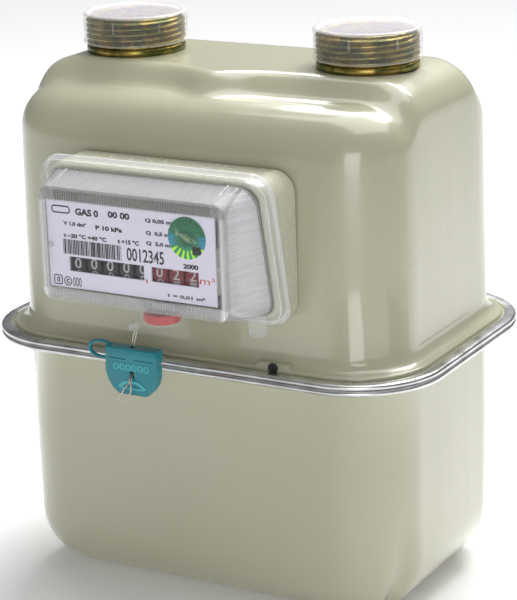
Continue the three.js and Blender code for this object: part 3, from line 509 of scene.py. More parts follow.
@dataclass(frozen=True)
class ClearCover:
    """Clear polycarbonate of the index cover: a plain window, fluted sides, a bright edge with painted
    highlight lines on the skirt, and a painted shadow line at the seam.
    """

    white: Colour = shade(236, 237, 240)
    grey: Colour = shade(150, 150, 148)
    # dark: colour of the painted shadow line where the cover's body meets its rim
    dark: Colour = shade(92, 90, 84)
    front: float = -97.0
    window_low: float = 145.2
    window_high: float = 180.7
    core_low: float = 141.4
    core_high: float = 185.0
    core_half: float = 40.9
    comb_pitch: float = 1.1
    step_pitch: float = 0.9
    rim_at_low: float = -68.6
    rim_slope: float = -0.2098
    low: float = 131.0

    def make(self) -> bpy.types.Material:
        """Build the plastic; each zone of the cover has its own clearness and fluting."""
        tree = Finish("clear_polycarbonate")
        x, y, z = tree.x, tree.y, tree.z
        from_rim = y - (self.rim_at_low + self.rim_slope * (z - self.low))
        across = abs(x)
        core = 1 - across.rise(self.core_half, self.core_half + 0.3)
        core *= z.within(self.core_low, self.core_high, 0.15)
        outer_face = 1 - y.rise(self.front + 0.5, self.front + 1.1)
        pane = core * (1 - y.rise(self.front + 1.65, self.front + 1.8)) + (1 - core) * outer_face
        middle = pane * z.within(self.window_low, self.window_high, 0.35) * (1 - across.rise(38.6, 40.4))
        edge = tree.facing(0.3)
        skirt = from_rim.rise(-1.7, -1.5)
        # painted shadow: a dark line where the cover's body meets its rim
        seam_shadow = from_rim.within(-2.5, -1.75, 0.25)
        # painted highlight: two bright lines along the skirt's front and rear edges
        bead = (from_rim.within(-1.3, -0.7, 0.15) + from_rim.within(3.4, 4.3, 0.15)).limited()
        wall = (1 - pane) * (1 - skirt)
        end_wall = wall * across.rise(42.0, 43.2)
        level_wall = wall * (1 - across.rise(41.4, 42.6))
        lines = tree.noise((0.02, 0.05, 1.1), 1.0, 0.5)
        flutes = tree.noise((2.4, 0.05, 0.05), 2.0, 0.6, shift=6.0)
        comb = (x * (2 * math.pi / self.comb_pitch)).wave()
        steps = (z * (2 * math.pi / self.step_pitch)).wave()
        top_strip = pane * z.rise(self.window_high - 0.1, self.window_high + 0.5)
        low_strip = pane * (1 - z.rise(self.window_low - 0.5, self.window_low + 0.1))
        tone = tree.tint(
            (level_wall * flutes.rise(0.35, 0.65) * 0.5 + top_strip * (0.55 + 0.4 * comb)).limited(),
            self.white,
            self.grey,
        )
        # darken the seam's painted shadow line
        tone = tree.tint((seam_shadow * 0.85).limited(), tone, self.dark)
        cover = (
            0.02
            + 0.1 * edge * middle
            + end_wall * (0.44 + 0.1 * lines.rise(0.4, 0.6) + 0.14 * steps)
            + level_wall * (0.28 + 0.3 * flutes.rise(0.3, 0.7))
            + top_strip * (0.16 + 0.24 * comb)
            + low_strip * (0.16 + 0.16 * comb)
            + pane * (1 - middle) * across.rise(38.7, 39.6) * (0.3 + 0.35 * across.within(40.2, 41.4, 0.3))
            + skirt * (0.05 + 0.4 * edge * edge)
            # the painted highlight lines along the skirt are more opaque white
            + bead * 0.5
            # the seam's painted shadow line is half opaque
            + seam_shadow * 0.5
        )
        grooves = (end_wall * steps + (level_wall + top_strip + low_strip) * comb).limited()
        return tree.surface(
            Base_Color=tone,
            Roughness=0.09 + 0.22 * (wall * lines).limited(),
            Alpha=cover.limited(),
            Specular_IOR_Level=0.6,
            Normal=tree.relief(grooves, 0.02),
        )


@dataclass(frozen=True)
class ClearMoulding:
    """Clear polycarbonate of small posts, bosses and ribs."""

    name: str = "clear_posts"
    haze: float = 1.0
    tone: Colour = shade(238, 239, 240)

    def make(self) -> bpy.types.Material:
        """Build the plastic, whitest along its edges."""
        tree = Finish(self.name)
        edge = tree.facing(0.45)
        cloud = tree.noise((0.6, 0.6, 0.3), 2.0)
        return tree.surface(
            Base_Color=tree.tint(cloud, shade(206, 208, 208), self.tone),
            Roughness=0.08 + 0.08 * cloud,
            Alpha=(self.haze * (0.12 + 0.42 * edge * edge + 0.12 * cloud)).limited(),
            Specular_IOR_Level=0.8,
            Normal=tree.relief(cloud, 0.05),
        )


@dataclass(frozen=True)
class FoilSticker:
    """Diffraction foil: rays round the middle, a painted highlight brightest below, with a dark patch and a
    faint painted glow.
    """

    centre_x: float = 24.2
    centre_z: float = 171.5
    radius: float = 8.4
    rays: int = 40

    def make(self) -> bpy.types.Material:
        """Build the foil's rays, bands and patch."""
        tree = Finish("verification_foil")
        u = (tree.x - self.centre_x) / self.radius
        v = (tree.z - self.centre_z) / self.radius
        angle = v.angle_to(u)
        away = (u * u + v * v) ** 0.5
        grain = tree.noise((0.9, 0.9, 0.9), 3.0, 0.7)
        wave = ((angle + 0.25 * grain) * self.rays).wave()
        coarse = (angle * (self.rays / 2) + grain).wave()
        rays = away.rise(0.25, 0.5) * wave
        base = tree.tint(rays * 0.8, shade(22, 84, 58), shade(58, 150, 106))
        base = tree.tint(away.rise(0.3, 0.1) * 0.6, base, shade(96, 140, 92))
        side = v.within(-0.42, 0.12, 0.1) * abs(u).rise(0.45, 0.85)
        base = tree.tint(side * (0.4 + 0.6 * wave), base, shade(40, 150, 190))
        # painted highlight: the lower band is brighter and greener, with yellow-green rays
        glow = (1 - v.rise(-0.52, -0.34)) * away.rise(0.4, 0.55)
        base = tree.tint(glow * 0.85, base, shade(16, 140, 96))
        base = tree.tint(glow * coarse.rise(0.5, 0.7) * away.rise(0.55, 0.65), base, shade(178, 238, 40))
        slant = v + 0.42 * u
        letters = slant.within(-0.14, 0.12, 0.03) * (1 - abs(u).rise(0.6, 0.66))
        base = tree.tint(letters * grain.rise(0.45, 0.6) * 0.55, base, shade(176, 190, 160))
        patch = (u - 0.52).within(-0.24, 0.22, 0.02) * (v + 0.56).within(-0.2, 0.2, 0.02)
        base = tree.tint(patch, base, shade(8, 12, 12))
        return tree.surface(
            Base_Color=base,
            Metallic=0.35,
            Roughness=0.3 + 0.2 * grain,
            # painted glow: the foil gives off a little light of its own colour
            Emission_Color=base,
            Emission_Strength=0.08,
            Normal=tree.relief(rays, 0.02),
        )


@dataclass(frozen=True)
class PaperPlate:
    """The printed plate: white with a cool cast and a faint weave."""

    face: Colour = shade(240, 236, 252)
    shadow: Colour = shade(228, 224, 240)

    def make(self) -> bpy.types.Material:
        """Build the plate's stock."""
        tree = Finish("index_plate_stock")
        cloud = tree.noise((0.03, 0.03, 0.03), 2.0)
        fibre = tree.noise((1.5, 1.5, 1.5), 3.0, shift=9.0)
        return tree.surface(
            Base_Color=tree.tint(cloud, self.shadow, self.face),
            Roughness=0.5 + 0.1 * fibre,
            Normal=tree.relief(fibre, 0.008),
        )


@dataclass(frozen=True)
class StudioFloor:
    """The pale sweep that the meter stands on, brightest far behind it and dark in front."""

    tone: Colour = shade(250, 250, 250)
    glow: float = 0.56
    across: tuple[float, float] = (0.75, 0.66)
    dark_front: tuple[float, float] = (-330.0, -200.0)
    near: Colour = shade(120, 120, 120)
    spread: tuple[float, float] = (200.0, 900.0)

    def make(self) -> bpy.types.Material:
        """Build the floor's paper, lit from behind as on a light table."""
        tree = Finish("studio_floor")
        fibre = tree.noise((0.01, 0.01, 0.01), 1.0)
        away = tree.y * self.across[1] - tree.x * self.across[0]
        reach = (tree.x * tree.x + tree.y * tree.y) ** 0.5
        lit = tree.tint(reach.rise(*self.spread), self.near, self.tone)
        return tree.surface(
            Base_Color=tree.tint(fibre * 0.04, self.tone, shade(240, 240, 240)),
            Roughness=0.9,
            Emission_Color=tree.tint(away.rise(*self.dark_front), shade(30, 30, 30), lit),
            Emission_Strength=self.glow,
        )


# ---------------------------------------------------------------- making meshes
@dataclass(frozen=True)
class Steps:
    """How many steps each stretch of a rounded outline has."""

    ends: int = 1
    sides: int = 1
    corner: int = 12


def rounded_outline(
    half_x: float, half_y: float, radius: float, steps: Steps
) -> list[tuple[float, float, float, float]]:
    """A rounded rectangle about the origin.

    Args:
        half_x: Half its width.
        half_y: Half its depth.
        radius: Its corner radius.
        steps: How finely it is divided.

    Returns:
        Points with their outward direction, (x, y, direction x, direction y).
    """
    bend = min(radius, half_x, half_y)
    corners = ((1, -1, -0.5), (1, 1, 0.0), (-1, 1, 0.5), (-1, -1, 1.0))
    points: list[tuple[float, float, float, float]] = []
    for index, (sign_x, sign_y, turn) in enumerate(corners):
        middle_x = sign_x * (half_x - bend)
        middle_y = sign_y * (half_y - bend)
        for step in range(steps.corner + 1):
            angle = math.pi * turn + QUARTER * step / steps.corner
            points.append(
                (
                    middle_x + bend * math.cos(angle),
                    middle_y + bend * math.sin(angle),
                    math.cos(angle),
                    math.sin(angle),
                )
            )
        next_x, next_y, _ = corners[(index + 1) % 4]
        angle = math.pi * turn + QUARTER
        here = points[-1]
        there = (
            next_x * (half_x - bend) + bend * math.cos(angle),
            next_y * (half_y - bend) + bend * math.sin(angle),
        )
        count = steps.ends if index % 2 == 0 else steps.sides
        for step in range(1, count):
            share = step / count
            points.append(
                (
                    here[0] + (there[0] - here[0]) * share,
                    here[1] + (there[1] - here[1]) * share,
                    math.cos(angle),
                    math.sin(angle),
                )
            )
    return points


def level_ring(half_x: float, half_y: float, radius: float, height: float, steps: Steps) -> Ring:
    """A rounded rectangle lying level at a height."""
    return [(x, y, height) for x, y, _, _ in rounded_outline(half_x, half_y, radius, steps)]


def oblong(left: float, right: float, front: float, back: float, height: float) -> Ring:
    """A sharp-cornered rectangle lying level at a height."""
    return [(left, front, height), (right, front, height), (right, back, height), (left, back, height)]


def soft_step(share: float) -> float:
    """Ease a share from 0 to 1."""
    held = min(1.0, max(0.0, share))
    return held * held * (3 - 2 * held)


def settle(made: bpy.types.Object, body: str, slot: str, *nodes: str) -> bpy.types.Object:
    """Give a finished piece its body and hide the CAD nodes it stands for.

    Args:
        made: The piece, in place.
        body: The body it rides on.
        slot: The material slot of the record; not used.
        *nodes: CAD nodes it replaces.

    Returns:
        The piece.
    """
    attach(made, body)
    if nodes:
        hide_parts(*nodes)
    log.info("%s: %d faces, on %s", made.name, len(made.data.polygons), body)
    return made


def mesh_of(made: bpy.types.Object) -> bpy.types.Mesh:
    """The plain mesh of an object with its modifiers, after which the object is removed."""
    graph = bpy.context.evaluated_depsgraph_get()
    mesh = bpy.data.meshes.new_from_object(made.evaluated_get(graph))
    bpy.data.objects.remove(made)
    return mesh


def stand_in(name: str, data: Any) -> bpy.types.Object:
    """A working object in the scene that holds some data."""
    made = bpy.data.objects.new(name, data)
    bpy.context.scene.collection.objects.link(made)
    return made


class Shape:
    """Points and faces of a piece under construction, in millimetres."""

    def __init__(self) -> None:
        """Start with nothing."""
        self.points: list[Triple] = []
        self.faces: list[tuple[int, ...]] = []

    def loft(self, rings: list[Ring], loop: bool = False) -> "Shape":
        """Join rings of equal count into a closed skin.

        Args:
            rings: The rings, in order.
            loop: Whether the last joins the first; otherwise both ends get a fan.

        Returns:
            This shape.
        """
        base = len(self.points)
        count = len(rings[0])
        for ring in rings:
            self.points.extend(ring)
        last = len(rings) if loop else len(rings) - 1
        for level in range(last):
            here = base + level * count
            there = base + ((level + 1) % len(rings)) * count
            for step in range(count):
                after = (step + 1) % count
                self.faces.append((here + step, here + after, there + after, there + step))
        if not loop:
            for level in (0, len(rings) - 1):
                start = base + level * count
                ring = rings[level]
                middle = tuple(sum(point[axis] for point in ring) / count for axis in range(3))
                self.points.append(middle)
                hub = len(self.points) - 1
                for step in range(count):
                    self.faces.append((start + step, start + (step + 1) % count, hub))
        return self

    def lathe(self, axis: str, centre: Triple, profile: list[tuple[float, float]], steps: int) -> "Shape":
        """Turn a closed profile round an axis.

        Args:
            axis: "x", "y" or "z".
            centre: A point on the axis; the profile's heights replace its part along the axis.
            profile: (radius, height) pairs that close on themselves.
            steps: Divisions round the axis.

        Returns:
            This shape.
        """
        rings = []
        for radius, height in profile:
            ring = []
            for step in range(steps):
                angle = 2 * math.pi * step / steps
                across, up = radius * math.cos(angle), radius * math.sin(angle)
                if axis == "z":
                    ring.append((centre[0] + across, centre[1] + up, height))
                elif axis == "y":
                    ring.append((centre[0] + across, height, centre[2] + up))
                else:
                    ring.append((height, centre[1] + across, centre[2] + up))
            rings.append(ring)
        return self.loft(rings, loop=True)

    def rod(
        self,
        axis: str,
        centre: Triple,
        radius: float,
        low: float,
        high: float,
        edge: float = 0.3,
        steps: int = 32,
    ) -> "Shape":
        """A round bar with eased ends."""
        profile = [
            (0.0, low),
            (radius - edge, low),
            (radius - 0.3 * edge, low + 0.3 * edge),
            (radius, low + edge),
            (radius, high - edge),
            (radius - 0.3 * edge, high - 0.3 * edge),
            (radius - edge, high),
            (0.0, high),
        ]
        return self.lathe(axis, centre, profile, steps)

    def block(self, low: Triple, high: Triple) -> "Shape":
        """A box between two corners."""
        return self.loft([oblong(low[0], high[0], low[1], high[1], z) for z in (low[2], high[2])])

    def mesh(self, name: str, finish: bpy.types.Material, angle: float = SMOOTH_ANGLE) -> bpy.types.Mesh:
        """Close the shape into a mesh in metres, faces outward.

        Args:
            name: The mesh's name.
            finish: Its material.
            angle: Edges sharper than this stay crisp.

        Returns:
            The mesh.
        """
        made = bpy.data.meshes.new(name)
        made.from_pydata([tuple(value * MM for value in point) for point in self.points], [], self.faces)
        return cleaned(made, finish, angle)

    def piece(
        self,
        name: str,
        body: str,
        finish: bpy.types.Material,
        slot: str,
        *nodes: str,
        angle: float = SMOOTH_ANGLE,
        bevel: float = 0.0,
    ) -> bpy.types.Object:
        """Finish the shape as a piece of the model.

        Args:
            name: The piece's name.
            body: The body it rides on.
            finish: Its material.
            slot: The record's material slot.
            *nodes: CAD nodes it stands for.
            angle: Edges sharper than this stay crisp.
            bevel: Width of eased edges, in millimetres.

        Returns:
            The piece.
        """
        mesh = self.mesh(name, finish, angle)
        if bevel > 0:
            mesh = eased(mesh, bevel, angle)
        return settle(stand_in(name, mesh), body, slot, *nodes)


def cleaned(mesh: bpy.types.Mesh, finish: bpy.types.Material, angle: float) -> bpy.types.Mesh:
    """Weld a mesh, turn its faces outward, smooth it and give it its finish.

    Args:
        mesh: The mesh to work on.
        finish: Its material.
        angle: Edges sharper than this stay crisp.

    Returns:
        The same mesh.
    """
    work = bmesh.new()
    work.from_mesh(mesh)
    bmesh.ops.remove_doubles(work, verts=work.verts, dist=WELD)
    bmesh.ops.dissolve_degenerate(work, edges=work.edges, dist=WELD)
    bmesh.ops.recalc_face_normals(work, faces=work.faces)
    if work.calc_volume(signed=True) < 0:
        bmesh.ops.reverse_faces(work, faces=work.faces)
    work.to_mesh(mesh)
    work.free()
    mesh.materials.clear()
    mesh.materials.append(finish)
    mesh.shade_smooth()
    mesh.set_sharp_from_angle(angle=angle)
    return mesh


def eased(mesh: bpy.types.Mesh, width: float, angle: float) -> bpy.types.Mesh:
    """A copy of a mesh with its sharp edges rounded over."""
    holder = stand_in("easing", mesh)
    bevel = holder.modifiers.new("ease", "BEVEL")
    bevel.width = width * MM
    bevel.segments = 3
    bevel.limit_method = "ANGLE"
    bevel.angle_limit = math.radians(35)
    bevel.harden_normals = False
    made = mesh_of(holder)
    made.shade_smooth()
    made.set_sharp_from_angle(angle=angle)
    return made


def bored(mesh: bpy.types.Mesh, cutter: Shape, angle: float) -> bpy.types.Mesh:
    """A copy of a mesh with a shape cut away.

    Args:
        mesh: What is cut.
        cutter: The shape that is taken away.
        angle: Edges sharper than this stay crisp.

    Returns:
        The cut mesh.
    """
    finish = mesh.materials[0]
    holder = stand_in("blank", mesh)
    tool = stand_in("cutter", cutter.mesh("cutter", finish))
    cut = holder.modifiers.new("bore", "BOOLEAN")
    cut.operation = "DIFFERENCE"
    cut.solver = "EXACT"
    cut.object = tool
    made = mesh_of(holder)
    bpy.data.objects.remove(tool)
    return cleaned(made, finish, angle)


def joined(meshes: list[bpy.types.Mesh], name: str) -> bpy.types.Mesh:
    """Put several meshes into one, each keeping its faces' finish."""
    work = bmesh.new()
    finishes: list[bpy.types.Material] = []
    for mesh in meshes:
        first = len(work.faces)
        work.from_mesh(mesh)
        work.faces.ensure_lookup_table()
        finish = mesh.materials[0]
        if finish not in finishes:
            finishes.append(finish)
        for face in work.faces[first:]:
            face.material_index = finishes.index(finish)
    made = bpy.data.meshes.new(name)
    work.to_mesh(made)
    work.free()
    for finish in finishes:
        made.materials.append(finish)
    return made


def smoothed_copy(
    node: str,
    name: str,
    finish: bpy.types.Material,
    slot: str,
    angle: float = SMOOTH_ANGLE,
    bevel: float = 0.0,
) -> bpy.types.Object:
    """A welded and smoothed copy of a CAD node that stands for it.

    Args:
        node: The CAD node.
        name: The new piece's name.
        finish: Its material.
        slot: The record's material slot.
        angle: Edges sharper than this stay crisp.
        bevel: Width of eased edges, in millimetres.

    Returns:
        The piece.
    """
    source = frame["nodes"][node]
    mesh = cleaned(source.data.copy(), finish, angle)
    if bevel > 0:
        mesh = eased(mesh, bevel, angle)
    return settle(stand_in(name, mesh), source["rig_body"], slot, node)


def dress(finish: bpy.types.Material, *nodes: str) -> None:
    """Give CAD nodes that stay a material.

    Args:
        finish: The material.
        *nodes: The nodes.
    """
    for node in nodes:
        for slot in frame["nodes"][node].material_slots:
            slot.material = finish
        log.info("%s: keeps its CAD shape", node)


class Layout(Enum):
    """How repeated parts are set out."""

    ROW = "row"
    RING = "ring"


class Repeater(Wiring):
    """A Geometry Nodes tree that sets out bars in a row or a ring, each a little different."""

    INPUTS = (
        ("Count", "NodeSocketInt"),
        ("First", "NodeSocketVector"),
        ("Step", "NodeSocketVector"),
        ("Radius", "NodeSocketFloat"),
        ("Size", "NodeSocketVector"),
        ("Smallest", "NodeSocketVector"),
        ("Largest", "NodeSocketVector"),
        ("Seed", "NodeSocketInt"),
        ("Finish", "NodeSocketMaterial"),
    )

    def __init__(self, layout: Layout) -> None:
        """Build the tree for one layout.

        Args:
            layout: Row or ring.
        """
        tree = bpy.data.node_groups.new(f"{layout.value}_of_bars", "GeometryNodeTree")
        super().__init__(tree)
        self.sockets: dict[str, str] = {}
        for label, kind in self.INPUTS:
            item = tree.interface.new_socket(name=label, in_out="INPUT", socket_type=kind)
            self.sockets[label] = item.identifier
        tree.interface.new_socket(name="Geometry", in_out="OUTPUT", socket_type="NodeSocketGeometry")
        given = self.node("NodeGroupInput").outputs
        if layout is Layout.ROW:
            line = self.node(
                "GeometryNodeMeshLine",
                {"mode": "OFFSET"},
                {"Count": given["Count"], "Start Location": given["First"], "Offset": given["Step"]},
            )
            turn = None
        else:
            line = self.node(
                "GeometryNodeMeshCircle", sockets={"Vertices": given["Count"], "Radius": given["Radius"]}
            )
            number = self.node("GeometryNodeInputIndex")
            share = self.node("ShaderNodeMath", {"operation": "DIVIDE"}, {0: number, 1: given["Count"]})
            angle = self.node("ShaderNodeMath", {"operation": "MULTIPLY"}, {0: share, 1: 2 * math.pi})
            turn = self.node("ShaderNodeCombineXYZ", sockets={"Z": angle})
        bar = self.node("GeometryNodeMeshCube", sockets={"Size": given["Size"]})
        size = self.node(
            "FunctionNodeRandomValue",
            {"data_type": "FLOAT_VECTOR"},
            {0: given["Smallest"], 1: given["Largest"], "Seed": given["Seed"]},
        )
        placed = self.node(
            "GeometryNodeInstanceOnPoints",
            sockets={"Points": line, "Instance": bar.outputs["Mesh"], "Scale": size},
        )
        if turn is not None:
            self.feed(placed.inputs["Rotation"], turn)
        real = self.node("GeometryNodeRealizeInstances", sockets={0: placed})
        dressed = self.node(
            "GeometryNodeSetMaterial", sockets={"Geometry": real, "Material": given["Finish"]}
        )
        self.node("NodeGroupOutput", sockets={0: dressed})

    def make(self, name: str, place: Matrix, finish: bpy.types.Material, **values: Any) -> bpy.types.Mesh:
        """Run the tree once.

        Args:
            name: The mesh's name.
            place: Where the set of bars goes, in millimetres.
            finish: The material.
            **values: The tree's other inputs by name, in millimetres.

        Returns:
            The bars as one plain mesh in metres.
        """
        holder = stand_in(name, bpy.data.meshes.new(name))
        modifier = holder.modifiers.new("bars", "NODES")
        modifier.node_group = self.tree
        values.setdefault("Smallest", (1.0, 1.0, 1.0))
        values.setdefault("Largest", (1.0, 1.0, 1.0))
        values["Finish"] = finish
        for label, value in values.items():
            modifier[self.sockets[label]] = value
        mesh = mesh_of(holder)
        mesh.transform(Matrix.Scale(MM, 4) @ place)
        mesh.materials.clear()
        mesh.materials.append(finish)
        return mesh


def lettering(
    text: str,
    left: float,
    low: float,
    width: float,
    height: float,
    finish: bpy.types.Material,
    weight: float = 0.0,
) -> bpy.types.Mesh:
    """Flat raised letters in the plane that faces forward, fitted to a box.

    Args:
        text: What is printed.
        left: The left edge, in millimetres.
        low: The lower edge.
        width: The width of the line.
        height: The height of the line.
        finish: The ink.
        weight: How much thicker than the plain face the strokes are.

    Returns:
        The letters, their middle at zero depth.
    """
    curve = bpy.data.curves.new("letters", "FONT")
    curve.body = text
    curve.resolution_u = 3
    curve.offset = weight
    curve.extrude = INK_HALF
    mesh = mesh_of(stand_in("letters", curve))
    spots = [vertex.co for vertex in mesh.vertices]
    low_x, high_x = min(spot.x for spot in spots), max(spot.x for spot in spots)
    low_y, high_y = min(spot.y for spot in spots), max(spot.y for spot in spots)
    across, up = width / (high_x - low_x), height / (high_y - low_y)
    for vertex in mesh.vertices:
        x, y, z = vertex.co
        vertex.co = (
            (left + (x - low_x) * across) * MM,
            -z * MM,
            (low + (y - low_y) * up) * MM,
        )
    mesh.materials.clear()
    mesh.materials.append(finish)
    return mesh


# ---------------------------------------------------------------- studio
@dataclass
class Studio:
    """Camera, floor and soft lights."""

    azimuth: float = 29.86
    elevation: float = 17.09
    roll: float = -1.89
    distance: float = 0.9661
    aim: Triple = (-0.00036, 0.0, 0.117)
    lens: float = 135.4
    shift: float = 0.0034
    light_aim: Triple = (0.0, 0.0, 0.12)
    floor_size: float = 14.0
    floor_drop: float = 0.0002
    sky: float = 0.2

    def set_camera(self) -> None:
        """Make the camera and point it at the meter."""
        data = bpy.data.cameras.new("studio_camera")
        data.sensor_width = 36.0
        data.lens = self.lens
        data.shift_x = self.shift
        data.clip_start = 0.05
        data.clip_end = 60.0
        camera = stand_in("studio_camera", data)
        turn, lift = math.radians(self.azimuth), math.radians(self.elevation)
        back = Vector(
            (math.sin(turn) * math.cos(lift), -math.cos(turn) * math.cos(lift), math.sin(lift))
        )
        right = (-back).cross(Vector((0, 0, 1))).normalized()
        up = right.cross(-back)
        lean = math.radians(self.roll)
        across = right * math.cos(lean) + up * math.sin(lean)
        above = up * math.cos(lean) - right * math.sin(lean)
        spin = Matrix((across, above, back)).transposed().to_4x4()
        camera.matrix_world = Matrix.Translation(Vector(self.aim) + back * self.distance) @ spin
        bpy.context.scene.camera = camera

    def lay_floor(self) -> None:
        """Lay the pale floor under the meter."""
        half = self.floor_size / 2
        mesh = bpy.data.meshes.new("studio_floor")
        mesh.from_pydata(oblong(-half, half, -half, half, 0), [], [(0, 1, 2, 3)])
        mesh.materials.append(StudioFloor().make())
        floor = stand_in("studio_floor", mesh)
        floor.location.z = -self.floor_drop

    def soft_box(self, name: str, place: Triple, width: float, height: float, power: float) -> None:
        """Hang one rectangular light, facing the meter.

        Args:
            name: The light's name.
            place: Where it hangs, in metres.
            width: Its width.
            height: Its height.
            power: Its power in watts.
        """
        data = bpy.data.lights.new(name, "AREA")
        data.shape = "RECTANGLE"
        data.size, data.size_y, data.energy = width, height, power
        light = stand_in(name, data)
        light.location = place
        light.rotation_mode = "QUATERNION"
        way = Vector(self.light_aim) - Vector(place)
        light.rotation_quaternion = way.to_track_quat("-Z", "Y")

    def light(self) -> None:
        """Set the even sky and the three boxes: overhead, above the caps and at the right."""
        world = bpy.data.worlds.new("studio_sky")
        world.use_nodes = True
        sky = Wiring(world.node_tree)
        sky.tree.nodes.clear()
        pale = shade(246, 248, 252)
        glow = sky.node("ShaderNodeBackground", sockets={"Color": pale, "Strength": self.sky})
        sky.node("ShaderNodeOutputWorld", sockets={"Surface": glow})
        bpy.context.scene.world = world
        bpy.context.scene.view_settings.view_transform = "Standard"
        self.soft_box("overhead_box", (0.15, 0.25, 1.4), 1.4, 1.2, 15.5)
        self.soft_box("top_box", (0.0, 0.34, 0.6), 0.5, 0.3, 4.2)
        self.soft_box("right_box", (0.55, -1.05, 0.28), 0.5, 0.6, 3.4)

    def build(self) -> None:
        """Set up the studio."""
        self.set_camera()
        self.lay_floor()
        self.light()
        log.info("studio: camera, floor and three soft boxes")


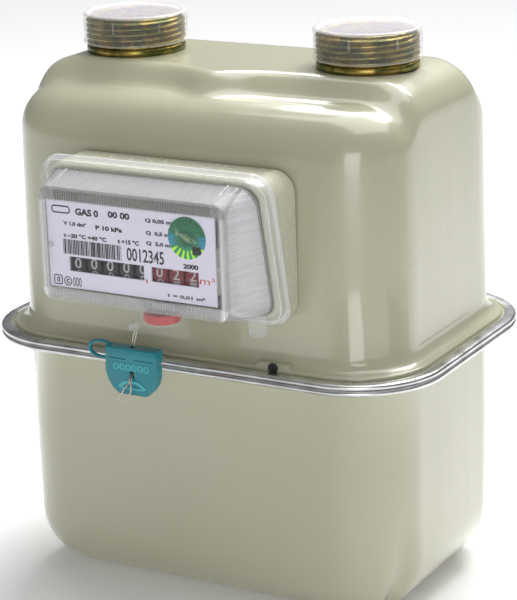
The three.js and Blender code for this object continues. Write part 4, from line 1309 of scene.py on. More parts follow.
# ---------------------------------------------------------------- tamper seal
@dataclass
class TamperSeal:
    """Red plug in its sleeve, moulded tag and the twisted wires that hold it."""

    sleeve_bottom: float = 131.6
    plug_x: float = SEAL_X
    plug_y: float = SEAL_Y
    plug_radius: float = 7.3
    tag_x: float = -5.5
    tag_y: float = -90.5
    tag_top: float = 122.5
    tag_thick: float = 3.4
    rim_height: float = 5.5
    hole_drop: float = 11.2
    wire_radius: float = 0.33
    wire_sides: int = 12
    twist_length: float = 1.5
    route_steps: int = 12

    def route(self, side: int, tail: Ring) -> list[Vector]:
        """The centreline of one wire, in metres.

        Args:
            side: -1 for the left wire, 1 for the right.
            tail: The free end's last points, in millimetres.

        Returns:
            Points close together along it.
        """
        x = self.tag_x + side * 0.45
        y, hole = self.tag_y, self.tag_top - self.hole_drop
        marks = [
            (x + 1.9, y, self.sleeve_bottom - 1.9),
            (x + 1.3, y + side * 0.2, self.sleeve_bottom - 4),
            (x + 0.4, y, self.tag_top + 1.5),
            (x, y, self.tag_top - 2),
            (x, y, hole + 3),
            (x, y - 0.35, hole + 1.1),
            (x, y - 1.6, hole + 0.1),
            (x, y - 2.7, hole - 1.2),
            (x - 0.1, y - 3.2, hole - 3),
            *tail,
        ]
        return [point * MM for point in self.curve_through([Vector(mark) for mark in marks])]

    def curve_through(self, marks: list[Vector]) -> list[Vector]:
        """A smooth curve through some points, its parameter spaced by their distance."""
        ends = [2 * marks[0] - marks[1], *marks, 2 * marks[-1] - marks[-2]]
        line: list[Vector] = []
        for index in range(1, len(ends) - 2):
            p0, p1, p2, p3 = ends[index - 1 : index + 3]
            t1 = (p1 - p0).length ** 0.5
            t2 = t1 + (p2 - p1).length ** 0.5
            t3 = t2 + (p3 - p2).length ** 0.5
            for step in range(self.route_steps):
                t = t1 + (t2 - t1) * step / self.route_steps
                a1 = p0 * ((t1 - t) / t1) + p1 * (t / t1)
                a2 = p1 * ((t2 - t) / (t2 - t1)) + p2 * ((t - t1) / (t2 - t1))
                a3 = p2 * ((t3 - t) / (t3 - t2)) + p3 * ((t - t2) / (t3 - t2))
                b1 = a1 * ((t2 - t) / t2) + a2 * (t / t2)
                b2 = a2 * ((t3 - t) / (t3 - t1)) + a3 * ((t - t1) / (t3 - t1))
                line.append(b1 * ((t2 - t) / (t2 - t1)) + b2 * ((t - t1) / (t2 - t1)))
        line.append(marks[-1])
        return line

    def strand(self, name: str, line: list[Vector], finish: bpy.types.Material) -> bpy.types.Object:
        """A tube with three twisted lobes along a line, for one wire.

        Args:
            name: The wire's name.
            line: Its centreline in metres.
            finish: Its metal.

        Returns:
            The tube's object.
        """
        shape = Shape()
        rings: list[Ring] = []
        side = Vector((1, 0, 0))
        gone = 0.0
        for index, point in enumerate(line):
            ahead = line[min(index + 1, len(line) - 1)] - line[max(index - 1, 0)]
            ahead.normalize()
            side = (side - ahead * side.dot(ahead)).normalized()
            across = ahead.cross(side)
            if index:
                gone += (point - line[index - 1]).length / MM
            ring: Ring = []
            for step in range(self.wire_sides):
                angle = 2 * math.pi * step / self.wire_sides
                lobe = math.cos(3 * (angle - 2 * math.pi * gone / (3 * self.twist_length)))
                radius = self.wire_radius * (0.9 + 0.1 * lobe)
                spot = point / MM + (side * math.cos(angle) + across * math.sin(angle)) * radius
                ring.append((spot.x, spot.y, spot.z))
            rings.append(ring)
        mesh = shape.loft(rings).mesh(name, finish, math.radians(60))
        return stand_in(name, mesh)

    def make_wires(self) -> None:
        """Make both wires and attach them to the seal."""
        finish = Metal(
            "seal_wire_steel", shade(226, 224, 214), shade(150, 146, 134), 0.28, (2.0, 2.0, 2.0)
        ).make()
        tails = {
            "left": (-1, [(-8.1, -93.9, 106.0), (-10.1, -93.8, 102.4), (-12.1, -93.7, 99.4)]),
            "right": (1, [(-5.0, -93.9, 105.6), (-6.3, -93.8, 102.8), (-9.1, -93.7, 100.4)]),
        }
        for name, (side, tail) in tails.items():
            line = self.route(side, tail)
            wire = self.strand(f"twisted_wire_{name}", line, finish)
            settle(wire, "seal", "seal_wire", f"seal_wire_{name}")
            length = sum((b - a).length for a, b in zip(line, line[1:]))
            log.info("%s wire: %.1f mm long", name, length / MM)

    def make_tag(self) -> bpy.types.Object:
        """Make the moulded tag with its thick hollow rim, figures and mark."""
        teal = Moulding(
            "tag_plastic", shade(20, 138, 150), shade(14, 118, 130), 0.35, 1.0, 0.015, 0.2, 0.15
        ).make()
        figures = Moulding(
            "tag_figures", shade(70, 188, 196), shade(56, 170, 178), 0.35, 1.0, 0.01, 0.2
        ).make()
        tag = smoothed_copy("seal_tag", "moulded_seal_tag", teal, "seal_teal", math.radians(32), 0.35)
        front = self.tag_y - self.tag_thick / 2 - 0.12
        digits = lettering("000000", self.tag_x - 8.4, self.tag_top - 9.6, 16.6, 2.9, figures, 0.012)
        digits.transform(Matrix.Translation((0, front * MM, 0)))
        arch = Shape()
        outer, inner = 7.4, 5.9
        rings: list[Ring] = []
        for step in range(21):
            angle = math.radians(28 + 124 * step / 20)
            rings.append(
                [
                    (
                        self.tag_x + radius * math.cos(angle),
                        front + depth,
                        self.tag_top - 19.3 + radius * 0.8 * math.sin(angle),
                    )
                    for radius, depth in ((outer, 0.2), (outer, -0.15), (inner, -0.15), (inner, 0.2))
                ]
            )
        arch.loft(rings)
        foot = Shape().block(
            (self.tag_x - 5.0, front - 0.15, self.tag_top - 17.2),
            (self.tag_x + 5.0, front + 0.2, self.tag_top - 16.5),
        )
        marks = joined([digits, arch.mesh("arch", figures), foot.mesh("foot", figures)], "tag_marks")
        settle(stand_in("tag_raised_marks", marks), "seal", "seal_teal")
        dish = Shape()
        rim_front = self.tag_y - self.tag_thick / 2 - 1.0
        inset = 1.1
        low, high = self.tag_top - self.rim_height, self.tag_top
        for left, right in ((-10.2, -1.9), (1.9, 10.9)):
            for under, over in ((low + inset - 0.6, low + inset), (high - inset, high - 0.3)):
                dish.block(
                    (self.tag_x + left, rim_front - 0.25, under),
                    (self.tag_x + right, rim_front + 0.3, over),
                )
        dish.piece("tag_rim_beads", "seal", teal, "seal_teal", bevel=0.2)
        return tag

    def make_plug(self) -> None:
        """Make the red plug with its fluted skirt and shallow dish."""
        red = Moulding(
            "seal_plug_plastic", shade(206, 34, 26), shade(182, 26, 20), 0.35, 0.9, 0.02, 0.2, 0.2
        ).make()
        foot = self.sleeve_bottom + 1.3
        top = foot + 4.1
        radius = self.plug_radius
        profile = [
            (0.0, foot + 0.7),
            (radius - 2.0, foot + 0.7),
            (radius - 1.6, foot + 0.2),
            (radius - 0.9, foot),
            (radius - 0.3, foot + 0.2),
            (radius, foot + 0.8),
            (radius, top - 0.4),
            (radius - 0.4, top),
            (0.0, top),
        ]
        Shape().lathe("z", (self.plug_x, self.plug_y, 0), profile, 64).piece(
            "red_sealing_plug", "meter", red, "seal_red", "seal_plug"
        )
        ribs = Repeater(Layout.RING).make(
            "plug_ribs",
            Matrix.Translation((self.plug_x, self.plug_y, foot + 2.2)),
            red,
            Count=36,
            Radius=radius,
            Size=(0.3, 0.45, 2.8),
            Seed=3,
        )
        settle(stand_in("plug_grip_ribs", ribs), "meter", "seal_red")

    def build(self) -> None:
        """Make the whole seal."""
        tag = self.make_tag()
        self.make_wires()
        self.make_plug()


# ---------------------------------------------------------------- case
@dataclass
class Case:
    """The two pressed halves of the case, their band and gasket."""

    wall: float = 1.1
    flange_z: float = 108.45
    top: float = 222.5
    ledge_drop_depth: float = 8.5
    saddle_front: float = -28.0
    saddle_rear: float = 32.0
    saddle_bulge: float = 8.0
    bulge_width: float = 14.0
    saddle_blend: float = 6.0
    upper_half_x: float = 90.6
    upper_half_y: float = 58.0
    upper_corner: float = 27.0
    draft: float = 1.0
    lower_grow: float = 0.8
    lower_corner: float = 30.0
    end_fillet: float = 17.0
    front_fillet: float = 20.0
    base_fillet: float = 27.0
    flute_depth: float = 4.2
    flute_angle: float = 0.44
    flute_width: float = 0.2
    flute_top: float = 52.0
    flute_foot: float = 12.0
    band_reach: float = 11.9
    band_corner: float = 37.0
    band_sheet: float = 0.8
    band_lip: float = 4.6
    band_half: float = 2.5
    flange_land: float = 3.0
    flange_inset: float = 1.1
    upper_flange_top: float = 110.1
    lower_flange_foot: float = 106.8
    spigot_x: float = 55.0
    spigot_hole: float = 17.5
    domed: Steps = Steps(ends=36, sides=64, corner=12)
    plain: Steps = Steps(ends=2, sides=2, corner=22)

    def drop_at(self, x: float, y: float) -> float:
        """How far the top lies below the saddle at a point of the plan."""
        bulge = self.saddle_bulge * math.exp(-((x / self.bulge_width) ** 2))
        reach = 2 * self.saddle_blend
        front = soft_step((self.saddle_front - bulge - y + self.saddle_blend) / reach)
        rear = soft_step((y - self.saddle_rear + self.saddle_blend) / reach)
        return self.ledge_drop_depth * max(front, rear)

    def top_rings(self, inside: bool) -> list[Ring]:
        """Rings of the domed top from its edge to near its middle.

        Args:
            inside: Whether they are the inner face's.

        Returns:
            The rings.
        """
        sheet = self.wall if inside else 0.0
        half_x = self.upper_half_x - self.draft - sheet
        half_y = self.upper_half_y - self.draft - sheet
        corner = self.upper_corner - sheet
        deepest = self.front_fillet - sheet
        rings: list[Ring] = []
        count = 6 if inside else 14
        for stage in range(count + 1):
            angle = QUARTER * stage / count
            inset = (1 - math.cos(angle)) * deepest
            outline = rounded_outline(half_x - inset, half_y - inset, max(corner - inset, 4.0), self.domed)
            ring: Ring = []
            for x, y, turn_x, _ in outline:
                fillet = deepest + (self.end_fillet - self.front_fillet) * turn_x * turn_x
                sink = (1 - math.sin(angle)) * fillet
                ring.append((x, y, self.top - sheet - self.drop_at(x, y) - sink))
            rings.append(ring)
        edge = rounded_outline(half_x - deepest, half_y - deepest, max(corner - deepest, 4.0), self.domed)
        parts = 6 if inside else 24
        for part in range(1, parts):
            share = 1 - part / parts
            ring = []
            for x, y, _, _ in edge:
                spot = (x * (0.5 + 0.5 * share), y * share)
                ring.append((*spot, self.top - sheet - self.drop_at(*spot)))
            rings.append(ring)
        return rings

    def band_ring(self, inset: float, height: float, steps: Steps) -> Ring:
        """A level ring set in from the band's outer edge."""
        half_x = self.upper_half_x + self.band_reach - inset
        half_y = self.upper_half_y + self.band_reach - inset
        return level_ring(half_x, half_y, self.band_corner - inset, height, steps)

    def make_upper(self, paint: bpy.types.Material) -> None:
        """Make the upper half with its shoulder, flange and two spigot holes."""
        shoulder = self.upper_flange_top + self.flange_land - self.wall
        drop = self.band_lip + 1.4
        steps = self.domed

        def wall_ring(height: float, lost: float, sheet: float) -> Ring:
            """A ring of the straight wall."""
            half_x = self.upper_half_x - lost - sheet
            half_y = self.upper_half_y - lost - sheet
            return level_ring(half_x, half_y, self.upper_corner - sheet, height, steps)

        outside = [wall_ring(shoulder + 40, 0.28, 0), wall_ring(shoulder + 5.5, 0, 0)]
        for step in range(1, 8):
            angle = QUARTER * step / 8
            sweep = self.band_reach - 5.2 * (1 - math.cos(angle)) * 0.8
            outside.append(self.band_ring(sweep, shoulder + 5.5 - 5.2 * math.sin(angle), steps))
        outside += [
            self.band_ring(self.band_reach - 4.6, shoulder, steps),
            self.band_ring(drop + 0.9, shoulder, steps),
            self.band_ring(drop + 0.45, shoulder - 0.12, steps),
            self.band_ring(drop + 0.1, shoulder - 0.45, steps),
            self.band_ring(drop, shoulder - 0.9, steps),
            self.band_ring(drop, self.upper_flange_top, steps),
            self.band_ring(self.flange_inset, self.upper_flange_top, steps),
            self.band_ring(self.flange_inset, self.upper_flange_top - self.wall, steps),
            self.band_ring(drop + self.wall, self.upper_flange_top - self.wall, steps),
            self.band_ring(drop + self.wall + 0.4, shoulder - self.wall, steps),
            self.band_ring(self.band_reach - 2.4, shoulder - self.wall + 0.3, steps),
            wall_ring(shoulder + 5, 0, self.wall),
        ]
        rings = [*reversed(self.top_rings(False)), *outside, *self.top_rings(True)]
        shell = Shape().loft(rings).mesh("upper_shell", paint)
        holes = Shape()
        for x in (-self.spigot_x, self.spigot_x):
            holes.rod("z", (x, 0, 0), self.spigot_hole, self.top - 3, self.top + 3, steps=64)
        shell = bored(shell, holes, SMOOTH_ANGLE)
        settle(stand_in("painted_upper_case", shell), "meter", "case_paint", "upper_case")
        front, back = -self.upper_half_y - 5.3, -self.upper_half_y + 0.5
        foot = oblong(34.2, 49.9, front, back, shoulder - 0.4)
        crest = oblong(35.2, 49.3, front + 0.3, back, shoulder + 1.7)
        Shape().loft([foot, crest]).piece("flange_tab", "meter", paint, "case_paint", bevel=0.5)

    def lower_ring(self, height: float, inside: bool) -> Ring:
        """One ring of the lower half, its corners hollowed by the flutes."""
        sheet = self.wall if inside else 0.0
        fillet = self.base_fillet - sheet
        rise = max(0.0, fillet - (height - sheet))
        inset = fillet - math.sqrt(max(0.0, fillet * fillet - rise * rise))
        half_x = self.upper_half_x + self.lower_grow - sheet - inset
        half_y = self.upper_half_y + self.lower_grow - sheet - inset
        depth = self.flute_depth * soft_step((self.flute_top - height) / (self.flute_top - self.flute_foot))
        outline = rounded_outline(half_x, half_y, max(self.lower_corner - sheet - inset, 4.0), self.plain)
        ring: Ring = []
        for x, y, turn_x, turn_y in outline:
            turn = math.acos(min(1.0, abs(turn_x)))
            hollow = depth * math.exp(-(((turn - self.flute_angle) / self.flute_width) ** 2))
            ring.append((x - hollow * turn_x, y - hollow * turn_y, height))
        return ring

    def make_lower(self, paint: bpy.types.Material) -> None:
        """Make the deep-drawn lower half with its corner flutes."""
        steps = self.plain
        wall_inset = self.band_reach - self.lower_grow
        foot, top = self.lower_flange_foot, self.lower_flange_foot + self.wall
        bend = [self.base_fillet * (1 - math.cos(QUARTER * step / 18)) for step in range(19)]
        levels = [*bend, 32.0, 38.0, 45.0, 52.0, 70.0, foot - 5.0]

        def floor_rings(inside: bool) -> list[Ring]:
            """Rings of the flat underside."""
            first = self.lower_ring(self.wall if inside else 0.0, inside)
            return [[(x * share, y * share, z) for x, y, z in first] for share in (0.3, 0.75, 0.97)]

        outside = [self.lower_ring(height, False) for height in levels]
        hollow = [max(height, self.wall) for height in levels if height > self.wall * 0.9]
        within = [self.lower_ring(height, True) for height in hollow]
        lip: list[Ring] = []
        for step in range(1, 7):
            angle = QUARTER * step / 7
            inset = wall_inset - 4 * (1 - math.cos(angle))
            lip.append(self.band_ring(inset, foot - 4.2 + 4.2 * math.sin(angle), steps))
        rings = [
            *floor_rings(False),
            *outside,
            *lip,
            self.band_ring(wall_inset - 4.4, foot, steps),
            self.band_ring(self.flange_inset, foot, steps),
            self.band_ring(self.flange_inset, top, steps),
            self.band_ring(wall_inset - 3.6, top, steps),
            self.band_ring(wall_inset - 0.2, top - 1, steps),
            *reversed(within),
            *reversed(floor_rings(True)),
        ]
        Shape().loft(rings).piece(
            "painted_lower_case", "meter", paint, "case_paint", "lower_case", angle=DRAWN_ANGLE
        )

    def make_band(self, steel: bpy.types.Material, rubber: bpy.types.Material) -> None:
        """Make the rolled clamp band with its two beads and the gasket under it."""
        steps = Steps(ends=2, sides=2, corner=30)
        middle, half = self.flange_z, self.band_half
        top, foot = middle + half, middle - half
        outer: list[Ring] = []
        bead = half / 2
        for centre in (middle + bead, middle - bead):
            for step in range(9):
                angle = QUARTER - math.pi * step / 8
                height = centre + bead * math.sin(angle) * 0.98
                outer.append(self.band_ring(bead - bead * math.cos(angle), height, steps))
        rings = [
            self.band_ring(self.band_lip, top - 0.1, steps),
            self.band_ring(self.band_lip - 0.3, top, steps),
            *outer,
            self.band_ring(self.band_lip - 0.3, foot, steps),
            self.band_ring(self.band_lip, foot + 0.1, steps),
            self.band_ring(self.band_lip, foot + self.band_sheet, steps),
            self.band_ring(self.band_sheet + 0.5, foot + self.band_sheet, steps),
            self.band_ring(self.band_sheet + 0.5, top - self.band_sheet, steps),
            self.band_ring(self.band_lip, top - self.band_sheet, steps),
        ]
        Shape().loft(rings, loop=True).piece("rolled_clamp_band", "meter", steel, "band_steel", "clamp_band")
        dress(rubber, "case_gasket")

    def make_flange_plug(self, rubber: bpy.types.Material) -> None:
        """Make the small round plug in front of the flange."""
        x, z, back = 43.0, 112.3, -64.1
        profile = [
            (0.0, back),
            (2.1, back),
            (2.1, back - 0.55),
            (1.9, back - 0.8),
            (1.45, back - 0.9),
            (1.2, back - 0.7),
            (0.7, back - 0.62),
            (0.0, back - 0.6),
        ]
        Shape().lathe("y", (x, 0, z), profile, 32).piece(
            "round_flange_plug", "meter", rubber, "black_plastic", "flange_plug"
        )

    def build(self) -> None:
        """Make the case and its band."""
        paint = CasePaint().make()
        steel = Metal(
            "rolled_band_steel", shade(236, 236, 236), shade(186, 186, 186), 0.3, (0.04, 0.04, 1.2), 0.003
        ).make()
        rubber = Moulding("black_rubber", shade(34, 34, 36), shade(22, 22, 24), 0.55, 0.8, 0.02).make()
        self.make_upper(paint)
        self.make_lower(paint)
        self.make_band(steel, rubber)
        self.make_flange_plug(rubber)


# ---------------------------------------------------------------- spigots and caps
@dataclass
class Spigot:
    """One threaded spigot and its transit cap."""

    name: str
    x: float
    foot: float = 222.55
    height: float = 15.2
    bore: float = 16.0
    neck: float = 17.2
    crest: float = 20.95
    root: float = 19.5
    pitch: float = 2.309
    collar: float = 3.2
    cap_inner: float = 21.25
    cap_outer: float = 22.35
    cap_skirt: float = 12.6
    cap_wall: float = 1.1
    rib_count: int = 7
    rib_turn: float = 0.35

    def make_thread(self, zinc: bpy.types.Material) -> None:
        """Make the spigot with a real helical thread."""
        steps = 72
        top = self.foot + self.height
        start, stop = self.foot + self.collar + 0.3, top - 0.9
        heights = [start + (stop - start) * step / 84 for step in range(85)]
        bands: list[tuple[float, float, bool]] = [
            (self.bore, self.foot - 5, False),
            (self.neck, self.foot - 5, False),
            (self.neck, self.foot, False),
            (self.crest - 0.3, self.foot, False),
            (self.crest, self.foot + 0.3, False),
            (self.crest, self.foot + self.collar - 0.8, False),
            (self.crest - 0.25, self.foot + self.collar - 0.45, False),
            (self.root, self.foot + self.collar, False),
        ]
        bands += [(self.root, height, True) for height in heights]
        bands += [
            (self.root - 0.1, top - 0.5, False),
            (self.root - 0.6, top, False),
            (self.bore + 0.4, top, False),
            (self.bore, top - 0.4, False),
        ]
        rings: list[Ring] = []
        for radius, height, threaded in bands:
            ring: Ring = []
            for step in range(steps):
                angle = 2 * math.pi * step / steps
                out = radius
                if threaded:
                    turn = (height / self.pitch - angle / (2 * math.pi)) % 1.0
                    ridge = min(1.0, max(0.0, 1.35 - 2.7 * abs(turn - 0.5)))
                    fade = soft_step((height - start) / 0.8) * soft_step((stop - height) / 1.0)
                    out += (self.crest - self.root) * ridge * fade
                ring.append((self.x + out * math.cos(angle), out * math.sin(angle), height))
            rings.append(ring)
        piece, node = f"{self.name}_threaded_spigot", f"{self.name}_spigot"
        Shape().loft(rings, loop=True).piece(piece, "meter", zinc, "zinc_steel", node, angle=DRAWN_ANGLE)

    def make_cap(self, milk: bpy.types.Material) -> None:
        """Make the thin cap with its sunk crown, brim line and grip ribs."""
        ceiling = self.foot + self.height + 0.3
        top = ceiling + self.cap_wall
        inner, outer = self.cap_inner, self.cap_outer
        low = top - self.cap_skirt
        profile = [
            (0.0, ceiling),
            (inner - 0.6, ceiling),
            (inner, ceiling - 0.6),
            (inner, low),
            (outer - 0.25, low),
            (outer, low + 0.25),
            (outer, low + 0.9),
            (outer - 0.35, low + 1.2),
            (outer - 0.3, top - 2.6),
            (outer - 0.12, top - 1.6),
            (outer - 0.35, top - 0.7),
            (outer - 1.0, top - 0.15),
            (outer - 1.7, top),
            (outer - 2.5, top - 0.05),
            (outer - 2.9, top - 0.4),
            (outer - 3.6, top - 0.45),
            (0.0, top - 0.4),
        ]
        Shape().lathe("z", (self.x, 0, 0), profile, 96).piece(
            f"{self.name}_transit_cap", f"{self.name}_cap", milk, "cap_plastic", f"{self.name}_cap"
        )
        clear = ClearMoulding().make()
        ribs = Repeater(Layout.RING).make(
            f"{self.name}_cap_ribs",
            Matrix.Translation((self.x, 0, top - 4.4)) @ Matrix.Rotation(self.rib_turn, 4, "Z"),
            clear,
            Count=self.rib_count,
            Radius=outer - 0.2,
            Size=(0.35, 0.6, 4.6),
            Smallest=(1.0, 0.9, 0.9),
            Largest=(1.0, 1.1, 1.1),
            Seed=7,
        )
        settle(stand_in(f"{self.name}_cap_grip_ribs", ribs), f"{self.name}_cap", "cap_plastic")

    def build(self, zinc: bpy.types.Material, milk: bpy.types.Material) -> None:
        """Make the spigot and its cap."""
        self.make_thread(zinc)
        self.make_cap(milk)


# ---------------------------------------------------------------- index housing
@dataclass
class IndexHousing:
    """The cream base on the case wall and the clear cover over it."""

    wall_y: float = -58.1
    low: float = 131.0
    height: float = 61.0
    half_x: float = 52.0
    corner: float = 9.0
    wall: float = 2.2
    rim_low_depth: float = 10.5
    rim_high_depth: float = 23.3
    rim_inset: float = 2.1
    rim_lift: float = 0.5
    front_y: float = -97.0
    front_half_x: float = 42.6
    front_low: float = 139.9
    front_high: float = 186.5
    front_corner: float = 5.0
    cover_wall: float = 1.6
    gap: float = 0.3
    skirt_depth: float = 4.2
    boss: Triple = (43.0, -75.0, 0.0)
    steps: Steps = Steps(ends=10, sides=14, corner=14)

    @property
    def high(self) -> float:
        """Top of the base."""
        return self.low + self.height

    @property
    def rim_half_x(self) -> float:
        """Half the rim's width."""
        return self.half_x - self.rim_inset

    @property
    def rim_low(self) -> float:
        """The rim's lower edge."""
        return self.low + self.rim_inset + self.rim_lift

    def rim_y(self, z: float) -> float:
        """The leaning rim plane at a height."""
        slope = (self.rim_high_depth - self.rim_low_depth) / self.height
        return self.wall_y - self.rim_low_depth - slope * (z - self.low)

    def upright(
        self, half_x: float, low: float, high: float, radius: float, depth: Callable[[float], float]
    ) -> Ring:
        """A rounded rectangle standing upright, its depth a function of height."""
        middle = (low + high) / 2
        outline = rounded_outline(half_x, (high - low) / 2, radius, self.steps)
        return [(x, depth(middle + up), middle + up) for x, up, _, _ in outline]

    def base_ring(self, share: float, inward: float, radius: float) -> Ring:
        """A ring of the base at a share of the way from the wall to the rim."""
        half_x = self.half_x + (self.rim_half_x - self.half_x) * share - inward
        low = self.low + (self.rim_low - self.low) * share + inward
        return self.upright(
            half_x,
            low,
            self.high - inward,
            radius,
            lambda z: self.wall_y + share * (self.rim_y(z) - self.wall_y),
        )

    def make_base(self, cream: bpy.types.Material) -> None:
        """Make the tray-like base with its eased rim."""
        radius = self.corner
        rings = [
            self.base_ring(0.0, 0.35, radius),
            self.base_ring(0.02, 0.0, radius),
            self.base_ring(0.5, 0.0, radius - 0.5),
            self.base_ring(0.93, 0.0, radius - 1),
            self.base_ring(0.975, 0.15, radius - 1),
            self.base_ring(1.0, 0.7, radius - 1.5),
            self.base_ring(1.0, self.wall - 0.5, radius - 2.5),
            self.base_ring(0.98, self.wall, radius - 3),
            self.base_ring(0.3, self.wall, radius - 2),
            self.base_ring(0.22, self.wall + 0.4, radius - 2.2),
        ]
        shape = Shape().loft(rings)
        shape.block((1.0, -88.0, 142.75), (9.0, self.wall_y - 1, 145.7))
        shape.piece("cream_index_base", "meter", cream, "index_cream", "index_base")

    def cover_rings(self) -> list[Ring]:
        """The cover's skin, from the middle of its window over the skirt and back inside."""

        def at_rim(grow: float, radius: float, offset: float) -> Ring:
            """A ring along the leaning rim."""
            return self.upright(
                self.rim_half_x + grow,
                self.rim_low - grow,
                self.high + grow,
                radius,
                lambda z: self.rim_y(z) + offset,
            )

        def pane(grow: float, y: float) -> Ring:
            """A ring of the flat window."""
            return self.upright(
                self.front_half_x + grow,
                self.front_low - grow,
                self.front_high + grow,
                max(1.0, self.front_corner + grow),
                lambda z: y,
            )

        def between(share: float) -> Ring:
            """A ring of the sloping walls."""
            near, far = pane(0.0, self.front_y + 1.1), at_rim(-1.8, self.corner - 1, -2.1)
            return [
                tuple(a + (b - a) * share for a, b in zip(first, second)) for first, second in zip(near, far)
            ]

        flare = (self.rim_inset + self.rim_lift) * self.skirt_depth / self.rim_low_depth
        outer = self.gap + self.cover_wall
        return [
            pane(-3.0, self.front_y),
            pane(-1.1, self.front_y),
            pane(-0.5, self.front_y + 0.16),
            pane(-0.15, self.front_y + 0.52),
            *[between(step / 10) for step in range(11)],
            at_rim(-1.6, self.corner - 1, -1.5),
            at_rim(outer - 0.8, self.corner, -1.5),
            at_rim(outer - 0.2, self.corner, -1.25),
            at_rim(outer, self.corner, -0.7),
            at_rim(outer + flare * 0.96, self.corner, self.skirt_depth - 0.2),
            at_rim(outer + flare - 0.2, self.corner, self.skirt_depth),
            at_rim(self.gap + flare + 0.2, self.corner - 1, self.skirt_depth),
            at_rim(self.gap + flare * 0.96, self.corner - 1, self.skirt_depth - 0.2),
            at_rim(self.gap, self.corner - 1, -0.1),
            at_rim(-3.4, self.corner - 2, -0.1),
            pane(-self.cover_wall, self.front_y + self.cover_wall),
            pane(-self.cover_wall - 2, self.front_y + self.cover_wall),
        ]

    def make_cover(self, clear: bpy.types.Material, posts: bpy.types.Material) -> None:
        """Make the cover with its sleeve, bosses, eye, posts and ribs."""
        Shape().loft(self.cover_rings()).piece(
            "clear_index_cover", "meter", clear, "clear_plastic", "index_cover", angle=math.radians(30)
        )
        sleeve = Shape().lathe(
            "z",
            (SEAL_X, SEAL_Y, 0.0),
            [(7.7, 132.6), (7.9, 132.4), (9.2, 132.4), (9.4, 132.7), (9.4, 142.6), (7.7, 142.6)],
            64,
        )
        sleeve.piece("cover_sleeve", "meter", ClearMoulding("clear_sleeve", 0.4).make(), "clear_plastic")
        boss = Shape().lathe(
            "z",
            self.boss,
            [
                (0.0, 130.0),
                (2.2, 130.0),
                (2.5, 129.3),
                (3.4, 129.2),
                (3.8, 129.6),
                (3.8, 137.2),
                (3.4, 137.6),
                (0.0, 137.6),
            ],
            40,
        )
        boss.piece("cover_boss", "meter", posts, "clear_plastic")
        eye = Shape().block((-5.3, -93.2, 130.2), (-2.3, -89.8, 133.2))
        eye.piece("cover_wire_eye", "meter", posts, "clear_plastic", bevel=0.4)
        studs = Shape()
        for x, z, radius in (
            (-38.6, 162.4, 1.3),
            (38.4, 160.6, 1.3),
            (-38.2, 183.0, 1.0),
            (37.4, 183.0, 1.0),
            (-33.8, 142.8, 1.0),
            (17.0, 142.6, 1.1),
            (29.5, 142.6, 1.0),
            (9.6, 161.4, 1.1),
        ):
            studs.rod("y", (x, 0, z), radius, -95.5, -94.6, 0.25, 20)
        studs.piece("cover_studs", "meter", posts, "clear_plastic")
        bars = Shape()

        def bar_end(x: float, y: float, under: float, over: float) -> Ring:
            """One end of a ridge bar."""
            return [(x - 0.7, y, under), (x + 0.7, y, under), (x + 0.7, y, over), (x - 0.7, y, over)]

        for x in (-37.0, 36.5):
            back_y = self.rim_y(190.2) - 2.0
            bars.loft([bar_end(x, -95.9, 186.2, 187.1), bar_end(x, back_y, 189.9, 190.9)])
            bars.block((x - 0.9, -95.6, 180.9), (x + 0.9, -94.9, 186.2))
        bars.piece("cover_ridge_bars", "meter", posts, "clear_plastic", bevel=0.25)
        slope = math.atan2(190.2 - 186.5, (self.rim_y(190.2) - 2.1) - (self.front_y + 1.1))
        middle = Vector((0.0, ((self.front_y + 1.1) + self.rim_y(190.2) - 2.1) / 2, 188.35))
        lean = Matrix.Translation(middle) @ Matrix.Rotation(slope, 4, "X")
        ribs = Repeater(Layout.ROW).make(
            "top_ribs",
            lean,
            posts,
            Count=52,
            First=(-35.2, 0.0, 0.05),
            Step=(1.37, 0.0, 0.0),
            Size=(0.42, 11.6, 0.2),
            Smallest=(0.7, 0.96, 0.8),
            Largest=(1.4, 1.0, 1.2),
            Seed=11,
        )
        settle(stand_in("cover_top_ribs", ribs), "meter", "clear_plastic")

    def build(self) -> None:
        """Make the base and the cover."""
        cream = Moulding(
            "cream_plastic", shade(200, 199, 180), shade(194, 193, 173), 0.26, 0.4, 0.002, 0.4
        ).make()
        self.make_base(cream)
        self.make_cover(ClearCover().make(), ClearMoulding().make())


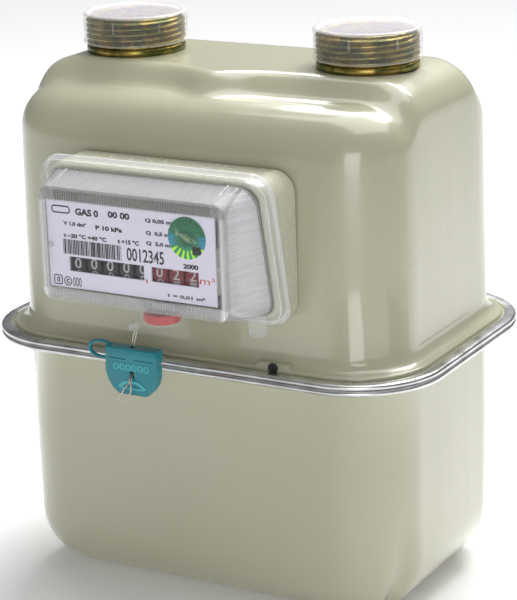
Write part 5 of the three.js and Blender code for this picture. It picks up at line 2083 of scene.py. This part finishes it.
# ---------------------------------------------------------------- register
@dataclass
class Register:
    """The printed plate, its number drums, the foil sticker and the gears behind."""

    plate_y: float = -94.5
    drum_y: float = -85.6
    drum_z: float = 155.2
    drum_radius: float = 7.8
    drum_bore: float = 1.25
    digit_width: float = 3.0
    digit_height: float = 4.3
    shown: tuple[int, ...] = (0, 0, 0, 0, 0, 0, 2, 2)
    leads: tuple[float, ...] = (1.5, 4.5, 5.7, 6.8, 9.2, 7.0, 5.5, 7.3)
    whole: int = 5

    def drum_digit(self, digit: int, angle: float, ink: bpy.types.Material) -> bpy.types.Mesh:
        """One raised figure bent round a drum about the x axis.

        Args:
            digit: The figure.
            angle: Where its middle sits, from the front upwards.
            ink: Its finish.

        Returns:
            The figure's mesh round the origin.
        """
        width, height = self.digit_width, self.digit_height
        mesh = lettering(str(digit), -width / 2, -height / 2, width, height, ink, 0.012)
        work = bmesh.new()
        work.from_mesh(mesh)
        cuts = 6
        for cut in range(1, cuts):
            level = (-0.5 + cut / cuts) * height * MM
            everything = [*work.verts, *work.edges, *work.faces]
            bmesh.ops.bisect_plane(work, geom=everything, plane_co=(0, 0, level), plane_no=(0, 0, 1))
        base = self.drum_radius * MM
        for vertex in work.verts:
            x, y, z = vertex.co
            turn = angle + z / base
            radius = base - y + 0.01 * MM
            vertex.co = (x, -radius * math.cos(turn), radius * math.sin(turn))
        work.to_mesh(mesh)
        work.free()
        return mesh

    def make_drums(self) -> None:
        """Make the eight drums, each with ten figures round it."""
        black = Moulding(
            "drum_black_plastic", shade(30, 30, 33), shade(20, 20, 23), 0.45, 1.0, 0.01
        ).make()
        red = Moulding(
            "drum_red_plastic", shade(132, 34, 44), shade(112, 24, 36), 0.45, 1.0, 0.01
        ).make()
        ink = Moulding(
            "drum_figures", shade(186, 188, 188), shade(166, 168, 168), 0.5, 2.0, 0.005
        ).make()
        for index, value in enumerate(self.shown):
            node = f"number_drum_{index + 1}"
            low, high = (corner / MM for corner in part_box(node))
            middle, half = (low.x + high.x) / 2, (high.x - low.x) / 2
            radius = self.drum_radius
            profile = [
                (self.drum_bore, middle - half),
                (radius - 0.4, middle - half),
                (radius, middle - half + 0.25),
                (radius, middle + half - 0.25),
                (radius - 0.4, middle + half),
                (radius - 1.2, middle + half),
                (radius - 1.2, middle + half - 0.6),
                (2.4, middle + half - 0.6),
                (2.2, middle + half),
                (self.drum_bore, middle + half),
            ]
            finish = black if index < self.whole else red
            body = Shape().lathe("x", (0, self.drum_y, self.drum_z), profile, 72).mesh("drum", finish)
            parts = [body]
            for digit in range(10):
                angle = math.radians(36 * (digit - value) + self.leads[index])
                mesh = self.drum_digit(digit, angle, ink)
                mesh.transform(Matrix.Translation((middle * MM, self.drum_y * MM, self.drum_z * MM)))
                parts.append(mesh)
            drum = stand_in(f"figured_drum_{index + 1}", joined(parts, node))
            drum.data.set_sharp_from_angle(angle=SMOOTH_ANGLE)
            settle(drum, f"drum_{index + 1}", "drum_black" if index < self.whole else "drum_red", node)

    def outline_mark(
        self,
        ink: bpy.types.Material,
        centre: tuple[float, float],
        half: tuple[float, float],
        radius: float,
        line: float = 0.4,
        corner: int = 6,
    ) -> bpy.types.Mesh:
        """A small plain outline with round corners, printed on the plate.

        Args:
            ink: Its finish.
            centre: Its middle, across and up.
            half: Half its width and half its height.
            radius: Its corner radius.
            line: How thick the line is.
            corner: Steps in each corner.

        Returns:
            The outline's mesh.
        """
        rings: list[Ring] = []
        for grow, depth in ((0.0, -INK_HALF), (0.0, INK_HALF), (-line, INK_HALF), (-line, -INK_HALF)):
            bend = max(0.2, radius + grow)
            outline = rounded_outline(half[0] + grow, half[1] + grow, bend, Steps(corner=corner))
            rings.append([(centre[0] + across, depth, centre[1] + up) for across, up, _, _ in outline])
        return Shape().loft(rings, loop=True).mesh("mark", ink)

    def make_printing(self) -> None:
        """Print the plate: plain figures, units, a bar pattern and simple marks."""
        black = Moulding("plate_black_ink", shade(16, 15, 20), shade(12, 11, 16), 0.6, 3.0, 0.002).make()
        red = Moulding("plate_red_ink", shade(206, 92, 68), shade(190, 78, 58), 0.6, 3.0, 0.002).make()
        lines: list[tuple[str, float, float, float, float, float]] = [
            ("GAS 0", -26.6, 175.4, 10.8, 2.9, 0.045),
            ("00 00", -11.4, 175.9, 10.0, 2.7, 0.045),
            ("V 1,0 dm³", -32.5, 170.6, 10.7, 1.9, 0.05),
            ("P 10 kPa", -17.4, 170.4, 12.3, 1.9, 0.05),
            ("t –20 °C +40 °C", -32.6, 165.9, 20.0, 1.8, 0.05),
            ("t +15 °C", -7.4, 166.0, 9.8, 1.9, 0.05),
            ("Q 0,05 m³", 5.6, 175.7, 13.0, 1.8, 0.05),
            ("Q  0,5 m³", 5.7, 170.7, 11.6, 1.8, 0.05),
            ("Q  5,0 m³", 5.7, 166.6, 11.8, 1.8, 0.05),
            ("0012345", -3.5, 159.5, 17.0, 5.3, 0.015),
            ("2000", 22.1, 159.2, 6.7, 2.0, 0.05),
            ("1 = 0,01 m³", 14.6, 146.7, 16.7, 1.6, 0.04),
        ]
        parts = [lettering(text, *box, black, weight) for text, *box, weight in lines]
        parts.append(self.outline_mark(black, (-36.3, 148.1), (2.0, 2.0), 0.7))
        parts.append(self.outline_mark(black, (-31.7, 147.9), (1.9, 1.9), 1.9))
        parts.append(lettering("0", -37.0, 147.0, 1.5, 2.3, black, 0.02))
        parts.append(lettering("c", -32.6, 147.0, 1.7, 1.8, black, 0.02))
        parts.append(lettering("000", -29.3, 146.0, 4.0, 3.9, black, 0.0))
        parts.append(self.outline_mark(black, (-33.4, 177.1), (4.4, 1.6), 1.5, 0.55, 8))
        bars = Repeater(Layout.ROW).make(
            "bar_pattern",
            Matrix.Identity(4),
            black,
            Count=36,
            First=(-32.9, 0.0, 162.15),
            Step=(0.765, 0.0, 0.0),
            Size=(0.5, 0.04, 6.0),
            Smallest=(0.3, 1.0, 1.0),
            Largest=(1.5, 1.0, 1.0),
            Seed=5,
        )
        parts.append(bars)
        parts += [
            lettering("m³", 29.3, 153.8, 6.6, 2.9, red, 0.0),
            lettering(",", 4.9, 151.0, 0.8, 2.0, red, 0.04),
            lettering("–", 28.8, 154.2, 0.9, 0.35, red, 0.0),
        ]
        printing = joined(parts, "plate_printing")
        printing.transform(Matrix.Translation((0, (self.plate_y - 0.03) * MM, 0)))
        settle(stand_in("plate_printing", printing), "meter", "label_plate")

    def build(self) -> None:
        """Make the plate, its printing, the drums and the sticker, and dress the works behind."""
        smoothed_copy("index_plate", "printed_index_plate", PaperPlate().make(), "label_plate")
        self.make_printing()
        self.make_drums()
        foil = FoilSticker()
        centre = (foil.centre_x, 0, foil.centre_z)
        Shape().rod("y", centre, foil.radius, self.plate_y - 0.25, self.plate_y - 0.05, 0.06, 72).piece(
            "round_foil_sticker", "meter", foil.make(), "foil_sticker", "verification_sticker"
        )
        natural = Moulding(
            "natural_nylon", shade(206, 202, 188), shade(190, 186, 170), 0.5, 0.7, 0.015
        ).make()
        steel = Metal("drawn_steel", shade(190, 190, 192), shade(130, 130, 134), 0.3).make()
        dress(natural, "index_chassis", "index_drive_gear")
        dress(natural, *(f"transfer_pinion_{number}" for number in range(1, 8)))
        dress(steel, "drum_shaft", "pinion_shaft", "cover_screw", "index_drive_shaft")


# ---------------------------------------------------------------- measuring unit
@dataclass
class MeasuringUnit:
    """The works inside the case, which keep their CAD shapes."""

    grey: Colour = shade(146, 151, 157)
    grey_deep: Colour = shade(130, 135, 141)

    def build(self) -> None:
        """Dress every inner part."""
        grey = Moulding("grey_moulding", self.grey, self.grey_deep, 0.5, 0.5, 0.03).make()
        cloth = Moulding(
            "coated_diaphragm_cloth", shade(86, 76, 64), shade(66, 58, 50), 0.85, 1.6, 0.08
        ).make()
        natural = Moulding(
            "inner_nylon", shade(216, 212, 198), shade(200, 196, 180), 0.5, 0.7, 0.015
        ).make()
        black = Moulding("graphite_seat", shade(34, 34, 38), shade(24, 24, 27), 0.3, 0.8, 0.01).make()
        steel = Metal("plated_arms", shade(196, 197, 200), shade(140, 142, 146), 0.28).make()
        plate = Metal(
            "disc_aluminium_sheet", shade(204, 206, 208), shade(160, 162, 166), 0.35, (0.4, 0.4, 0.4)
        ).make()
        brass = Metal("turned_brass", shade(196, 160, 92), shade(150, 116, 58), 0.28).make()
        dress(grey, "measuring_body", "front_chamber_cover", "rear_chamber_cover")
        dress(grey, "crank_bridge", "outlet_duct")
        dress(cloth, "front_diaphragm", "rear_diaphragm")
        dress(natural, "rotary_valve", "worm_wheel")
        dress(black, "valve_seat")
        dress(steel, "front_flag", "rear_flag", "front_crank_arm", "rear_crank_arm")
        dress(steel, "front_link", "rear_link")
        dress(plate, "front_diaphragm_disc", "rear_diaphragm_disc")
        dress(brass, "crankshaft", "drive_bush")


def main() -> None:
    """Set up the studio, then make the meter piece by piece."""
    logging.basicConfig(level=logging.INFO, format="%(name)s: %(message)s")
    Studio().build()
    TamperSeal().build()
    Case().build()
    zinc, milk = ZincThread().make(), MilkyCap().make()
    Spigot("inlet", -55.0).build(zinc, milk)
    Spigot("outlet", 55.0).build(zinc, milk)
    IndexHousing().build()
    Register().build()
    MeasuringUnit().build()


if __name__ == "__main__":
    main()
